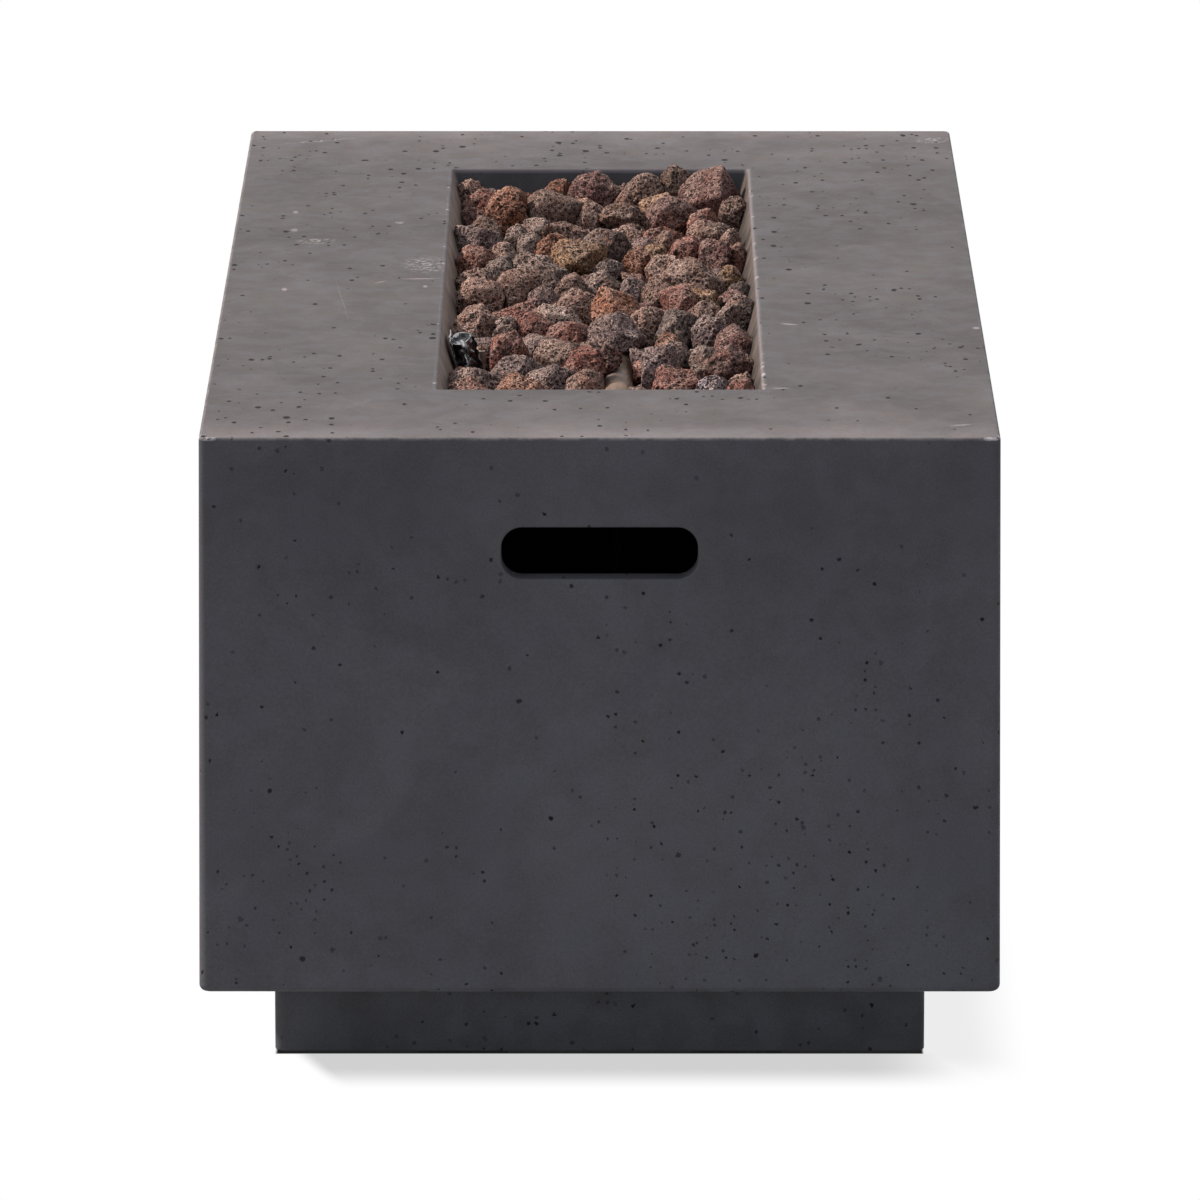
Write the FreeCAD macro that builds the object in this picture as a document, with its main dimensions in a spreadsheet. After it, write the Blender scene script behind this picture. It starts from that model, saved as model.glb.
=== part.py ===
import FreeCAD, Part
import math
import os
import random
import re
import Sketcher
from FreeCAD import Placement, Rotation, Vector

# Fire pit table: a hollow cast body on a recessed plinth, with a lava rock bed over a
# tube burner in its top. X is the width, Y the length, Z up, and the origin is on the
# floor under the middle. The igniter and the controls are on the -X side.

SIZES = {
    # cast body
    "body_width": 610,
    "body_length": 1270,
    "body_height": 436,
    "body_draft": 3,
    "wall": 18,
    "slab": 25,
    "corner_radius": 9,
    "top_edge_radius": 2.5,
    "foot_edge_radius": 5,
    "opening_width": 254,
    "opening_length": 914,
    "opening_corner": 3,
    "opening_edge_radius": 2.5,
    "opening_slope": 18,
    "collar_depth": 45,
    "collar_wall": 18,
    "slot_width": 150,
    "slot_height": 40,
    "slot_radius": 16,
    "slot_drop": 90,
    "slot_edge_radius": 1.5,
    # control recess
    "window_width": 150,
    "window_height": 90,
    "window_radius": 8,
    "window_y": -205,
    "window_drop": 210,
    "recess_depth": 50,
    "recess_sheet": 1.5,
    "recess_flange": 20,
    "panel_seat": 11,
    "panel_sheet": 1.5,
    "panel_gap": 0.3,
    # plinth and feet
    "plinth_height": 62,
    "plinth_inset": 53.4,
    "plinth_wall": 25,
    "plinth_corner_radius": 8,
    "foot_height": 2,
    "foot_length": 70,
    "foot_width": 20,
    "hose_notch_width": 60,
    "hose_notch_height": 34,
    # steel base frame
    "frame_gap": 0.3,
    "frame_leg": 60,
    "frame_rise": 40,
    "frame_sheet": 3,
    "crossbar_width": 50,
    # burner pan
    "pan_depth": 35,
    "pan_sheet": 1.5,
    "pan_lip": 2,
    "pan_corner": 6,
    "pan_flange_inset": 4,
    # burner
    "burner_x": 14,
    "burner_drop": 28,
    "burner_radius": 12.7,
    "burner_sheet": 1.2,
    "burner_length": 760,
    "port_radius": 1.3,
    "port_pitch": 24,
    "port_angle": 40,
    "cap_rim": 1.5,
    "cap_depth": 12,
    "saddle_spacing": 300,
    "saddle_width": 22,
    "saddle_sheet": 2.5,
    "saddle_foot": 26,
    "nipple_radius": 9,
    "nipple_bore": 7,
    "nipple_length": 26,
    "locknut_radius": 15,
    "locknut_height": 5,
    "mixer_radius": 13,
    "mixer_length": 62,
    "mixer_base": 8,
    "mixer_window": 12,
    "orifice_radius": 5,
    "orifice_hex_radius": 8,
    "orifice_bore": 0.7,
    "gas_tube_radius": 4,
    "gas_tube_bore": 3,
    "gas_tube_sag": 50,
    # valve and knob
    "knob_offset": 36,
    "knob_radius": 19,
    "knob_grip_radius": 15.5,
    "knob_length": 21,
    "knob_skirt": 5,
    "knob_hollow": 9,
    "knob_travel": 4,
    "knob_play": 1.5,
    "stem_radius": 3,
    "run_clearance": 0.05,
    "valve_size": 34,
    "valve_length": 46,
    "valve_chamber_radius": 11,
    "valve_front_wall": 6,
    "valve_boss_radius": 7,
    "valve_nut_radius": 10.5,
    "outlet_radius": 6,
    "outlet_length": 6,
    "thermo_port_radius": 3.5,
    "thermo_port_length": 5,
    "spring_radius": 7.5,
    "spring_wire": 1.2,
    "nut_height": 3,
    "inlet_radius": 7.94,
    "inlet_length": 16,
    "inlet_hex_radius": 11,
    "inlet_hex_height": 8,
    "inlet_spigot_radius": 6,
    "inlet_spigot": 5,
    "inlet_bore": 4,
    # igniter
    "igniter_offset": -36,
    "igniter_radius": 11,
    "igniter_rim_radius": 15,
    "igniter_rim": 3,
    "igniter_nut_radius": 15.5,
    "igniter_end_wall": 4,
    "igniter_terminal_radius": 4,
    "igniter_terminal": 6,
    "button_radius": 8.3,
    "button_clearance": 0.3,
    "button_length": 16,
    "button_proud": 5.5,
    "button_spring": 7,
    "battery_radius": 7.25,
    "battery_length": 50.5,
    # flame guard and sensors
    "guard_y": -218,
    "guard_lean": 15,
    "guard_scoop": 22,
    "guard_radius": 8,
    "guard_sheet": 0.8,
    "guard_height": 38,
    "guard_below_rim": 8,
    "guard_fold": 5,
    "guard_fold_turn": 28,
    "guard_width": 46,
    "guard_foot": 13,
    "guard_wall_gap": 0.5,
    "sensor_stand_off": 8.5,
    "sensor_spacing": 26,
    "probe_spacing": 9,
    "sensor_below_pan": 14,
    "sensor_below_rim": 22,
    "electrode_radius": 3,
    "electrode_wire": 0.8,
    "electrode_tip": 7,
    "thermocouple_radius": 2.4,
    "lead_radius": 1.6,
    # fasteners
    "screw_clearance": 0.3,
    "insert_clearance": 0.05,
    "small_screw": 2,
    "pan_screw": 2.5,
    "frame_screw": 3,
    "plinth_bolt": 4,
    "insert_wall": 1.5,
    # lava rocks
    "rock_gap": 0.6,
    "rock_size": 55,
    "rock_above_rim": 10,
    "rock_under_pitch": 50,
    "rock_under_row_pitch": 50,
    "rock_under_seed": 18,
    "hollow_x": 18,
    "hollow_y": -293,
    "hollow_width": 30,
    "hollow_length": 52,
    "bed_fall": 11.5,
}

# Places that follow from the sizes. Each is an expression in the sizes and in the
# places above it.
PLACES = {
    "body_z": "foot_height + plinth_height",
    "rim_z": "body_z + body_height",
    "foot_width_x": "body_width + 2 * body_draft",
    "foot_length_y": "body_length + 2 * body_draft",
    "cavity_x": "body_width / 2 - wall",
    "cavity_y": "body_length / 2 - wall",
    "collar_z": "rim_z - collar_depth",
    "slope_run": "tan(opening_slope * 1 deg)",
    "throat_x": "opening_width / 2 - collar_depth * slope_run",
    "throat_y": "opening_length / 2 - collar_depth * slope_run",
    "collar_x": "opening_width / 2 + collar_wall",
    "collar_y": "opening_length / 2 + collar_wall",
    "pan_x": "throat_x + pan_lip",
    "pan_y": "throat_y + pan_lip",
    "pan_floor_x": "pan_x - pan_depth * slope_run",
    "pan_floor_y": "pan_y - pan_depth * slope_run",
    "pan_floor_z": "collar_z - pan_depth",
    "pan_under_z": "pan_floor_z - pan_sheet",
    "plinth_x": "body_width / 2 - plinth_inset",
    "plinth_y": "body_length / 2 - plinth_inset",
    "frame_x": "cavity_x - frame_gap",
    "frame_y": "cavity_y - frame_gap",
    "window_z": "rim_z - window_drop",
    "panel_x": "-cavity_x + recess_depth",
    "burner_z": "rim_z - burner_drop - burner_radius",
    "knob_y": "window_y + knob_offset",
    "igniter_y": "window_y + igniter_offset",
}


def expand(text):
    """An expression with each place written out and each size named by its cell."""
    def one(match):
        word = match[0]
        if word in PLACES:
            return f"({expand(PLACES[word])})"
        if word in SIZES:
            return f"Sizes.{word}"
        return word
    return re.sub(r"[a-z_]+", one, str(text))


doc = FreeCAD.newDocument("FirePitTable")
sheet = doc.addObject("Spreadsheet::Sheet", "Sizes")
for row, (alias, number) in enumerate(SIZES.items(), 1):
    sheet.set(f"A{row}", alias)
    sheet.set(f"B{row}", str(number))
    sheet.setAlias(f"B{row}", alias)
doc.recompute()

NODES = []


def mm(text):
    """The value of an expression, in millimetres or degrees."""
    return float(sheet.evalExpression(expand(text)))


def node(item, label):
    """Name a finished sub-part."""
    item.Label = label
    NODES.append(item)
    return item


# Part primitives and booleans
TURNS = {
    "+Z": Rotation(),
    "-Z": Rotation(Vector(1, 0, 0), 180),
    "+X": Rotation(Vector(0, 1, 0), 90),
    "-X": Rotation(Vector(0, 1, 0), -90),
    "+Y": Rotation(Vector(1, 0, 0), -90),
    "-Y": Rotation(Vector(1, 0, 0), 90),
}


def place(item, x, y, z):
    """Bind an object's position to three expressions."""
    for axis, text in zip("xyz", (x, y, z)):
        item.setExpression(f"Placement.Base.{axis}", expand(text))


def box(name, low, size):
    """A box from its lowest corner and its three sizes."""
    item = doc.addObject("Part::Box", name)
    for prop, text in zip(("Length", "Width", "Height"), size):
        item.setExpression(prop, expand(text))
    place(item, *low)
    return item


def cylinder(name, axis, start, radius, length):
    """A cylinder that runs from a start point along an axis."""
    item = doc.addObject("Part::Cylinder", name)
    item.setExpression("Radius", expand(radius))
    item.setExpression("Height", expand(length))
    item.Placement = Placement(Vector(), TURNS[axis])
    place(item, *start)
    return item


def prism(name, axis, start, radius, length):
    """A six-sided prism that runs from a start point along an axis."""
    item = doc.addObject("Part::Prism", name)
    item.Polygon = 6
    item.setExpression("Circumradius", expand(radius))
    item.setExpression("Height", expand(length))
    item.Placement = Placement(Vector(), TURNS[axis])
    place(item, *start)
    return item


def fuse(name, items):
    item = doc.addObject("Part::MultiFuse", name)
    item.Shapes = items
    return item


def cut(name, base, tools):
    """A base with one or more tools cut from it."""
    item = doc.addObject("Part::Cut", name)
    item.Base = base
    item.Tool = tools[0] if len(tools) == 1 else group(f"{name}_tools", tools)
    return item


def group(name, items):
    """Several separate solids in one object."""
    item = doc.addObject("Part::Compound", name)
    item.Links = items
    return item


def step(start, axis, distance):
    """A start point moved along an axis by a distance."""
    moved = list(start)
    index = "XYZ".index(axis[1])
    moved[index] = f"{moved[index]} {axis[0]} ({distance})"
    return tuple(moved)


def opposite(axis):
    return {"+": "-", "-": "+"}[axis[0]] + axis[1]


def screw(name, axis, seat, radius, length):
    """A socket head screw: seat is under its head, and the shank runs along the axis."""
    shank = cylinder(f"{name}_shank", axis, seat, radius, length)
    head = cylinder(f"{name}_head", opposite(axis), seat, f"{radius} * 1.8", f"{radius} * 1.2")
    rear = step(seat, opposite(axis), f"{radius} * 1.2")
    socket = prism(f"{name}_socket", axis, rear, f"{radius} * 0.9", f"{radius} * 0.8")
    return cut(name, fuse(f"{name}_blank", [shank, head]), [socket])


def tube(name, axis, start, outer, inner, length):
    """A round tube, such as a threaded insert or a ring."""
    outside = cylinder(f"{name}_outside", axis, start, outer, length)
    inside = cylinder(f"{name}_inside", axis, start, inner, length)
    return cut(name, outside, [inside])


def nut(name, axis, start, radius, bore, height):
    """A six-sided nut with a plain bore."""
    blank = prism(f"{name}_blank", axis, start, radius, height)
    hole = cylinder(f"{name}_hole", axis, start, bore, height)
    return cut(name, blank, [hole])


# Sketches and PartDesign features
def plane(body, role):
    for feature in body.Origin.OriginFeatures:
        if feature.Role == role:
            return feature


def new_sketch(body, name, role, offset, x="0", y="0"):
    """A sketch on one of the body's own planes, moved out and across by expressions."""
    sketch = body.newObject("Sketcher::SketchObject", name)
    sketch.AttachmentSupport = [(plane(body, role), "")]
    sketch.MapMode = "FlatFace"
    for axis, text in zip("xyz", (x, y, offset)):
        sketch.setExpression(f"AttachmentOffset.Base.{axis}", expand(text))
    return sketch


def bind(sketch, constraint, name, text):
    """Add a dimension to a sketch and bind it to an expression."""
    index = sketch.addConstraint(constraint)
    sketch.renameConstraint(index, name)
    sketch.setExpression(f"Constraints.{name}", expand(text))


def rounded_rectangle(sketch, width, height, radius):
    """A centred rectangle with round corners."""
    wide, high, round_off = mm(width) / 2, mm(height) / 2, mm(radius)
    centres = [(1, 1), (-1, 1), (-1, -1), (1, -1)]
    arcs = []
    for quarter, (side_x, side_y) in enumerate(centres):
        middle = Vector(side_x * (wide - round_off), side_y * (high - round_off), 0)
        circle = Part.Circle(middle, Vector(0, 0, 1), round_off)
        start = quarter * math.pi / 2
        arcs.append(sketch.addGeometry(Part.ArcOfCircle(circle, start, start + math.pi / 2)))
    lines = []
    for index in range(4):
        start = sketch.getPoint(arcs[index], 2)
        end = sketch.getPoint(arcs[(index + 1) % 4], 1)
        lines.append(sketch.addGeometry(Part.LineSegment(start, end)))
    for index in range(4):
        following = arcs[(index + 1) % 4]
        sketch.addConstraint(Sketcher.Constraint("Tangent", arcs[index], 2, lines[index], 1))
        sketch.addConstraint(Sketcher.Constraint("Tangent", lines[index], 2, following, 1))
        direction = "Horizontal" if index % 2 == 0 else "Vertical"
        sketch.addConstraint(Sketcher.Constraint(direction, lines[index]))
    for index in range(1, 4):
        sketch.addConstraint(Sketcher.Constraint("Equal", arcs[0], arcs[index]))
    sketch.addConstraint(Sketcher.Constraint("Symmetric", arcs[0], 3, arcs[2], 3, -1, 1))
    bind(sketch, Sketcher.Constraint("Radius", arcs[0], round_off), "corner", radius)
    across = Sketcher.Constraint("DistanceX", arcs[2], 3, arcs[0], 3, 2 * (wide - round_off))
    along = Sketcher.Constraint("DistanceY", arcs[2], 3, arcs[0], 3, 2 * (high - round_off))
    bind(sketch, across, "across", f"({width}) - 2 * ({radius})")
    bind(sketch, along, "along", f"({height}) - 2 * ({radius})")


def rectangle(sketch, width, height):
    """A centred rectangle with sharp corners."""
    wide, high = mm(width) / 2, mm(height) / 2
    corners = [Vector(-wide, -high, 0), Vector(wide, -high, 0)]
    corners += [Vector(wide, high, 0), Vector(-wide, high, 0)]
    for index in range(4):
        sketch.addGeometry(Part.LineSegment(corners[index], corners[(index + 1) % 4]))
    for index in range(4):
        following = (index + 1) % 4
        sketch.addConstraint(Sketcher.Constraint("Coincident", index, 2, following, 1))
        direction = "Horizontal" if index % 2 == 0 else "Vertical"
        sketch.addConstraint(Sketcher.Constraint(direction, index))
    sketch.addConstraint(Sketcher.Constraint("Symmetric", 0, 1, 2, 1, -1, 1))
    bind(sketch, Sketcher.Constraint("DistanceX", 0, 1, 0, 2, 2 * wide), "across", width)
    bind(sketch, Sketcher.Constraint("DistanceY", 1, 1, 1, 2, 2 * high), "along", height)


def check_change(name, change, adds):
    """Stop if a feature changes nothing, or changes the volume the wrong way."""
    if abs(change) < 1 or (change > 0) != adds:
        raise ValueError(f"{name} changes the volume by {change}")


def feature(body, kind, name, sketch, length, taper=None, backwards=False, both=False):
    """A Pad or Pocket of a sketch, whose effect on the volume is checked."""
    before = body.Tip.Shape.Volume if body.Tip else 0.0
    item = body.newObject(f"PartDesign::{kind}", name)
    item.Profile = sketch
    item.setExpression("Length", expand(length))
    if taper:
        item.setExpression("TaperAngle", expand(taper))
    item.Reversed = backwards
    if both:
        item.SideType = "Symmetric"
    sketch.Visibility = False
    doc.recompute()
    check_change(name, item.Shape.Volume - before, kind == "Pad")
    return item


def loft(body, kind, name, sketches):
    """An AdditiveLoft or SubtractiveLoft through sketches, with its effect checked."""
    before = body.Tip.Shape.Volume
    item = body.newObject(f"PartDesign::{kind}", name)
    item.Profile = sketches[0]
    item.Sections = sketches[1:]
    item.Ruled = True
    for sketch in sketches:
        sketch.Visibility = False
    doc.recompute()
    check_change(name, item.Shape.Volume - before, kind == "AdditiveLoft")
    return item


def rounded(body, name, radius, wanted):
    """A fillet on the edges whose middle point is wanted."""
    base = body.Tip
    edges = []
    for index, edge in enumerate(base.Shape.Edges, 1):
        middle = edge.valueAt((edge.FirstParameter + edge.LastParameter) / 2)
        if wanted(edge, middle):
            edges.append(f"Edge{index}")
    item = body.newObject("PartDesign::Fillet", name)
    item.Base = (base, edges)
    item.setExpression("Radius", expand(radius))
    doc.recompute()
    return item


def near(value, target):
    return abs(value - target) < 0.01


def signs(count):
    """Evenly spaced steps about zero, such as -1.5, -0.5, 0.5, 1.5 for four."""
    return [index - (count - 1) / 2 for index in range(count)]


# Cast body: a tapered box, open below, with a sloping opening in its top
PAN_SCREW_SIDE = 5
PAN_SCREW_END = 2
FRAME_SCREW_SIDE = 4
FRAME_SCREW_END = 2
PLINTH_BOLT_SIDE = 3
PLINTH_BOLT_END = 2


def pan_screw_points():
    """Points round the collar's lower face, in the middle of its width."""
    line_x = "(throat_x + collar_x) / 2"
    line_y = "(throat_y + collar_y) / 2"
    points = []
    for side in (-1, 1):
        for share in signs(PAN_SCREW_SIDE):
            points.append((f"{side} * ({line_x})", f"{share} * throat_y / 2.6"))
        for share in signs(PAN_SCREW_END):
            points.append((f"{share} * throat_x", f"{side} * ({line_y})"))
    return points


def frame_screw_points():
    """Points on the inner faces of the four walls, with the way out of each."""
    height = "body_z + frame_sheet + (frame_rise - frame_sheet) / 2"
    points = []
    for side, axis in ((-1, "-X"), (1, "+X")):
        for share in signs(FRAME_SCREW_SIDE):
            points.append(((f"{side} * cavity_x", f"{share} * cavity_y / 2.1", height), axis))
    for side, axis in ((-1, "-Y"), (1, "+Y")):
        for share in signs(FRAME_SCREW_END):
            points.append(((f"{share} * cavity_x", f"{side} * cavity_y", height), axis))
    return points


def recess_screw_points():
    """Points on the inner face of the long wall round the control window."""
    reach_y = "(window_width / 2 + recess_sheet + recess_flange / 2)"
    reach_z = "(window_height / 2 + recess_sheet + recess_flange / 2)"
    points = []
    for side_y in (-1, 1):
        for side_z in (-1, 1):
            across = f"window_y + {side_y} * {reach_y}"
            up = f"window_z + {side_z} * {reach_z}"
            points.append(("-cavity_x", across, up))
    return points


def plinth_bolt_points():
    """Points along the middle of the plinth's wall."""
    line_x = "(plinth_x - plinth_wall / 2)"
    line_y = "(plinth_y - plinth_wall / 2)"
    points = []
    for side in (-1, 1):
        for share in signs(PLINTH_BOLT_SIDE):
            points.append((f"{side} * {line_x}", f"{share} * plinth_y / 1.4"))
        for share in signs(PLINTH_BOLT_END):
            points.append((f"{share} * plinth_x", f"{side} * {line_y}"))
    return points


PAN_INSERT_LENGTH = "collar_depth - slab"
WALL_INSERT_LENGTH = "wall * 0.7"
PLINTH_INSERT_LENGTH = "plinth_height * 0.4"


def insert_radius(thread):
    return f"({thread} + insert_clearance + insert_wall)"


def insert_hole(name, axis, start, thread, length):
    """The cast pocket that holds a threaded insert."""
    return cylinder(name, axis, start, f"{insert_radius(thread)} + insert_clearance", length)


def insert(name, axis, start, thread, length):
    return tube(name, axis, start, insert_radius(thread), f"{thread} + insert_clearance", length)


def make_cast_body():
    body = doc.addObject("PartDesign::Body", "casting")
    outline = new_sketch(body, "outline", "XY_Plane", "body_z")
    rounded_rectangle(outline, "foot_width_x", "foot_length_y", "corner_radius")
    feature(body, "Pad", "block", outline, "body_height", taper="-atan(body_draft / body_height)")
    cavity = new_sketch(body, "cavity", "XY_Plane", "body_z")
    rounded_rectangle(cavity, "2 * cavity_x", "2 * cavity_y", "corner_radius")
    feature(body, "Pocket", "hollow", cavity, "body_height - slab", backwards=True)
    collar = new_sketch(body, "collar_outline", "XY_Plane", "collar_z")
    rounded_rectangle(collar, "2 * collar_x", "2 * collar_y", "corner_radius")
    feature(body, "Pad", "collar", collar, "collar_depth - slab / 2")
    opening = new_sketch(body, "opening_outline", "XY_Plane", "rim_z")
    rounded_rectangle(opening, "opening_width", "opening_length", "opening_corner")
    throat = new_sketch(body, "throat_outline", "XY_Plane", "collar_z")
    rounded_rectangle(throat, "2 * throat_x", "2 * throat_y", "opening_corner")
    loft(body, "SubtractiveLoft", "opening", [opening, throat])
    ends = new_sketch(body, "slot_outline", "XZ_Plane", "0", y="rim_z - slot_drop")
    rounded_rectangle(ends, "slot_width", "slot_height", "slot_radius")
    feature(body, "Pocket", "hand_slots", ends, "body_length + 100", both=True)
    window = new_sketch(body, "window_outline", "YZ_Plane", "-cavity_x + 1", "window_y", "window_z")
    rounded_rectangle(window, "window_width", "window_height", "window_radius")
    feature(body, "Pocket", "control_window", window, "2 * wall + 10")

    rim = mm("rim_z")
    foot = mm("body_z")
    half_x = mm("body_width / 2")
    half_y = mm("body_length / 2")
    inner_x = mm("opening_width / 2")

    def on_top(edge, point):
        return near(point.z, rim) and (abs(point.x) > inner_x + 20 or abs(point.y) > half_y - 20)

    def round_opening(edge, point):
        return near(point.z, rim) and abs(point.x) < inner_x + 1 and abs(point.y) < half_y - 20

    def round_foot(edge, point):
        outside = abs(point.x) > half_x - 5 or abs(point.y) > half_y - 5
        return near(point.z, foot) and outside

    def round_slot(edge, point):
        low = rim - mm("slot_drop + slot_height")
        high = rim - mm("slot_drop - slot_height")
        outside = abs(point.y) > half_y - 1 and abs(point.x) < mm("slot_width / 2 + 1")
        return outside and low < point.z < high

    rounded(body, "slot_edge", "slot_edge_radius", round_slot)
    rounded(body, "opening_edge", "opening_edge_radius", round_opening)
    rounded(body, "top_edge", "top_edge_radius", on_top)
    rounded(body, "foot_edge", "foot_edge_radius", round_foot)

    holes = []
    for index, (x, y) in enumerate(pan_screw_points(), 1):
        start = (x, y, "collar_z")
        name = f"pan_insert_hole_{index}"
        holes.append(insert_hole(name, "+Z", start, "pan_screw", PAN_INSERT_LENGTH))
    for index, (start, axis) in enumerate(frame_screw_points(), 1):
        name = f"wall_insert_hole_{index}"
        holes.append(insert_hole(name, axis, start, "frame_screw", WALL_INSERT_LENGTH))
    for index, start in enumerate(recess_screw_points(), 1):
        name = f"recess_insert_hole_{index}"
        holes.append(insert_hole(name, "-X", start, "small_screw", WALL_INSERT_LENGTH))
    node(cut("cast_body_with_holes", body, holes), "concrete_body")


def make_plinth():
    body = doc.addObject("PartDesign::Body", "plinth_ring")
    outline = new_sketch(body, "plinth_outline", "XY_Plane", "foot_height")
    rounded_rectangle(outline, "2 * plinth_x", "2 * plinth_y", "plinth_corner_radius")
    feature(body, "Pad", "plinth_block", outline, "plinth_height")
    hollow = new_sketch(body, "plinth_hollow_outline", "XY_Plane", "body_z")
    width = "2 * (plinth_x - plinth_wall)"
    length = "2 * (plinth_y - plinth_wall)"
    rounded_rectangle(hollow, width, length, "plinth_corner_radius")
    feature(body, "Pocket", "plinth_hollow", hollow, "plinth_height + 1")
    notch = new_sketch(body, "notch_outline", "XZ_Plane", "-plinth_y + plinth_wall + 1", y="foot_height")
    rectangle(notch, "hose_notch_width", "2 * hose_notch_height")
    feature(body, "Pocket", "hose_notch", notch, "plinth_wall + 2")
    foot = mm("foot_height")

    def round_foot(edge, point):
        outside = abs(point.x) > mm("plinth_x - 1") or abs(point.y) > mm("plinth_y - 1")
        corner = abs(point.x) > mm("plinth_x - 4") and abs(point.y) > mm("plinth_y - 4")
        return near(point.z, foot) and (outside or corner)

    rounded(body, "plinth_foot_edge", "1.5", round_foot)
    holes = []
    for index, (x, y) in enumerate(plinth_bolt_points(), 1):
        start = (x, y, "body_z")
        name = f"plinth_insert_hole_{index}"
        holes.append(insert_hole(name, "-Z", start, "plinth_bolt", PLINTH_INSERT_LENGTH))
    node(cut("plinth_with_holes", body, holes), "plinth")


def make_feet():
    pads = []
    line_x = "(plinth_x - plinth_wall / 2)"
    line_y = "(plinth_y - plinth_wall / 2)"
    spots = []
    for side in (-1, 1):
        for share in signs(2):
            spots.append((f"{share} * plinth_x * 0.84", f"{side} * {line_y}", "foot_length", "foot_width"))
        for share in signs(3):
            spots.append((f"{side} * {line_x}", f"{share} * plinth_y * 0.8", "foot_width", "foot_length"))
    for index, (x, y, wide, long) in enumerate(spots, 1):
        low = (f"{x} - {wide} / 2", f"{y} - {long} / 2", "0")
        pads.append(box(f"foot_pad_{index}", low, (wide, long, "foot_height")))
    node(group("foot_pad_group", pads), "foot_pads")


def make_base_frame():
    """A frame welded from flat steel strips, with two crossbars, between body and plinth."""
    floor_z = "body_z"
    on_floor = "body_z + frame_sheet"
    upright = "frame_rise - frame_sheet"
    parts = []
    for index, side in enumerate((-1, 1), 1):
        strip_x = "-frame_x" if side < 0 else "frame_x - frame_leg"
        low = (strip_x, "-frame_y", floor_z)
        parts.append(box(f"side_strip_{index}", low, ("frame_leg", "2 * frame_y", "frame_sheet")))
        strip_y = "-frame_y" if side < 0 else "frame_y - frame_leg"
        low = ("-frame_x + frame_leg", strip_y, floor_z)
        size = ("2 * (frame_x - frame_leg)", "frame_leg", "frame_sheet")
        parts.append(box(f"end_strip_{index}", low, size))
        wall_x = "-frame_x" if side < 0 else "frame_x - frame_sheet"
        low = (wall_x, "-frame_y + corner_radius", on_floor)
        size = ("frame_sheet", "2 * (frame_y - corner_radius)", upright)
        parts.append(box(f"side_upright_{index}", low, size))
        wall_y = "-frame_y" if side < 0 else "frame_y - frame_sheet"
        low = ("-frame_x + corner_radius", wall_y, on_floor)
        size = ("2 * (frame_x - corner_radius)", "frame_sheet", upright)
        parts.append(box(f"end_upright_{index}", low, size))
        middle = f"{side} * frame_y / 2"
        low = ("-frame_x + frame_leg", f"{middle} - crossbar_width / 2", floor_z)
        size = ("2 * (frame_x - frame_leg)", "crossbar_width", "frame_sheet")
        parts.append(box(f"crossbar_{index}", low, size))
        low = ("-frame_x + frame_leg", f"{middle} - frame_sheet / 2", on_floor)
        size = ("2 * (frame_x - frame_leg)", "frame_sheet", "frame_rise / 2")
        parts.append(box(f"crossbar_rib_{index}", low, size))
    # The strips' corners are rounded to clear the cavity's round corners.
    tools = []
    for index, (side_x, side_y) in enumerate(((-1, -1), (-1, 1), (1, -1), (1, 1)), 1):
        size = ("corner_radius", "corner_radius", "frame_sheet + 2")
        low_x = f"{side_x} * frame_x" if side_x < 0 else "frame_x - corner_radius"
        low_y = f"{side_y} * frame_y" if side_y < 0 else "frame_y - corner_radius"
        block = box(f"frame_corner_block_{index}", (low_x, low_y, "body_z - 1"), size)
        middle_x = f"{side_x} * (frame_x - corner_radius)"
        middle_y = f"{side_y} * (frame_y - corner_radius)"
        start = (middle_x, middle_y, "body_z - 1")
        disc = cylinder(f"frame_corner_disc_{index}", "+Z", start, "corner_radius", "frame_sheet + 2")
        tools.append(cut(f"frame_corner_{index}", block, [disc]))
    for index, (start, axis) in enumerate(frame_screw_points(), 1):
        inward = step(start, opposite(axis), "frame_gap + frame_sheet + 1")
        name = f"frame_side_hole_{index}"
        radius = "frame_screw + screw_clearance"
        tools.append(cylinder(name, axis, inward, radius, "frame_sheet + frame_gap + 1"))
    for index, (x, y) in enumerate(plinth_bolt_points(), 1):
        start = (x, y, "body_z - 1")
        name = f"frame_bolt_hole_{index}"
        radius = "plinth_bolt + screw_clearance"
        tools.append(cylinder(name, "+Z", start, radius, "frame_sheet + 2"))
    strips = [cut(f"frame_piece_{index}", part, tools) for index, part in enumerate(parts, 1)]
    node(group("frame_welded", strips), "base_frame")


def make_body_fasteners():
    screws = []
    inserts = []
    for index, (start, axis) in enumerate(frame_screw_points(), 1):
        seat = step(start, opposite(axis), "frame_gap + frame_sheet")
        length = "frame_gap + frame_sheet + wall * 0.6"
        screws.append(screw(f"frame_screw_{index}", axis, seat, "frame_screw", length))
        name = f"frame_insert_{index}"
        inserts.append(insert(name, axis, start, "frame_screw", WALL_INSERT_LENGTH))
    node(group("frame_screw_group", screws), "frame_screws")
    node(group("frame_insert_group", inserts), "frame_screw_inserts")
    bolts = []
    inserts = []
    for index, (x, y) in enumerate(plinth_bolt_points(), 1):
        seat = (x, y, "body_z + frame_sheet")
        length = "frame_sheet + plinth_height * 0.35"
        bolts.append(screw(f"plinth_bolt_{index}", "-Z", seat, "plinth_bolt", length))
        name = f"plinth_insert_{index}"
        start = (x, y, "body_z")
        inserts.append(insert(name, "-Z", start, "plinth_bolt", PLINTH_INSERT_LENGTH))
    node(group("plinth_bolt_group", bolts), "plinth_bolts")
    node(group("plinth_insert_group", inserts), "plinth_bolt_inserts")


# Burner pan and burner
def saddle_points():
    return [f"{share} * saddle_spacing" for share in (-1, 1)]


SADDLE_SCREW = "saddle_sheet + saddle_foot * 0.5"
SENSOR_X = "-pan_floor_x + sensor_stand_off"


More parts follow.
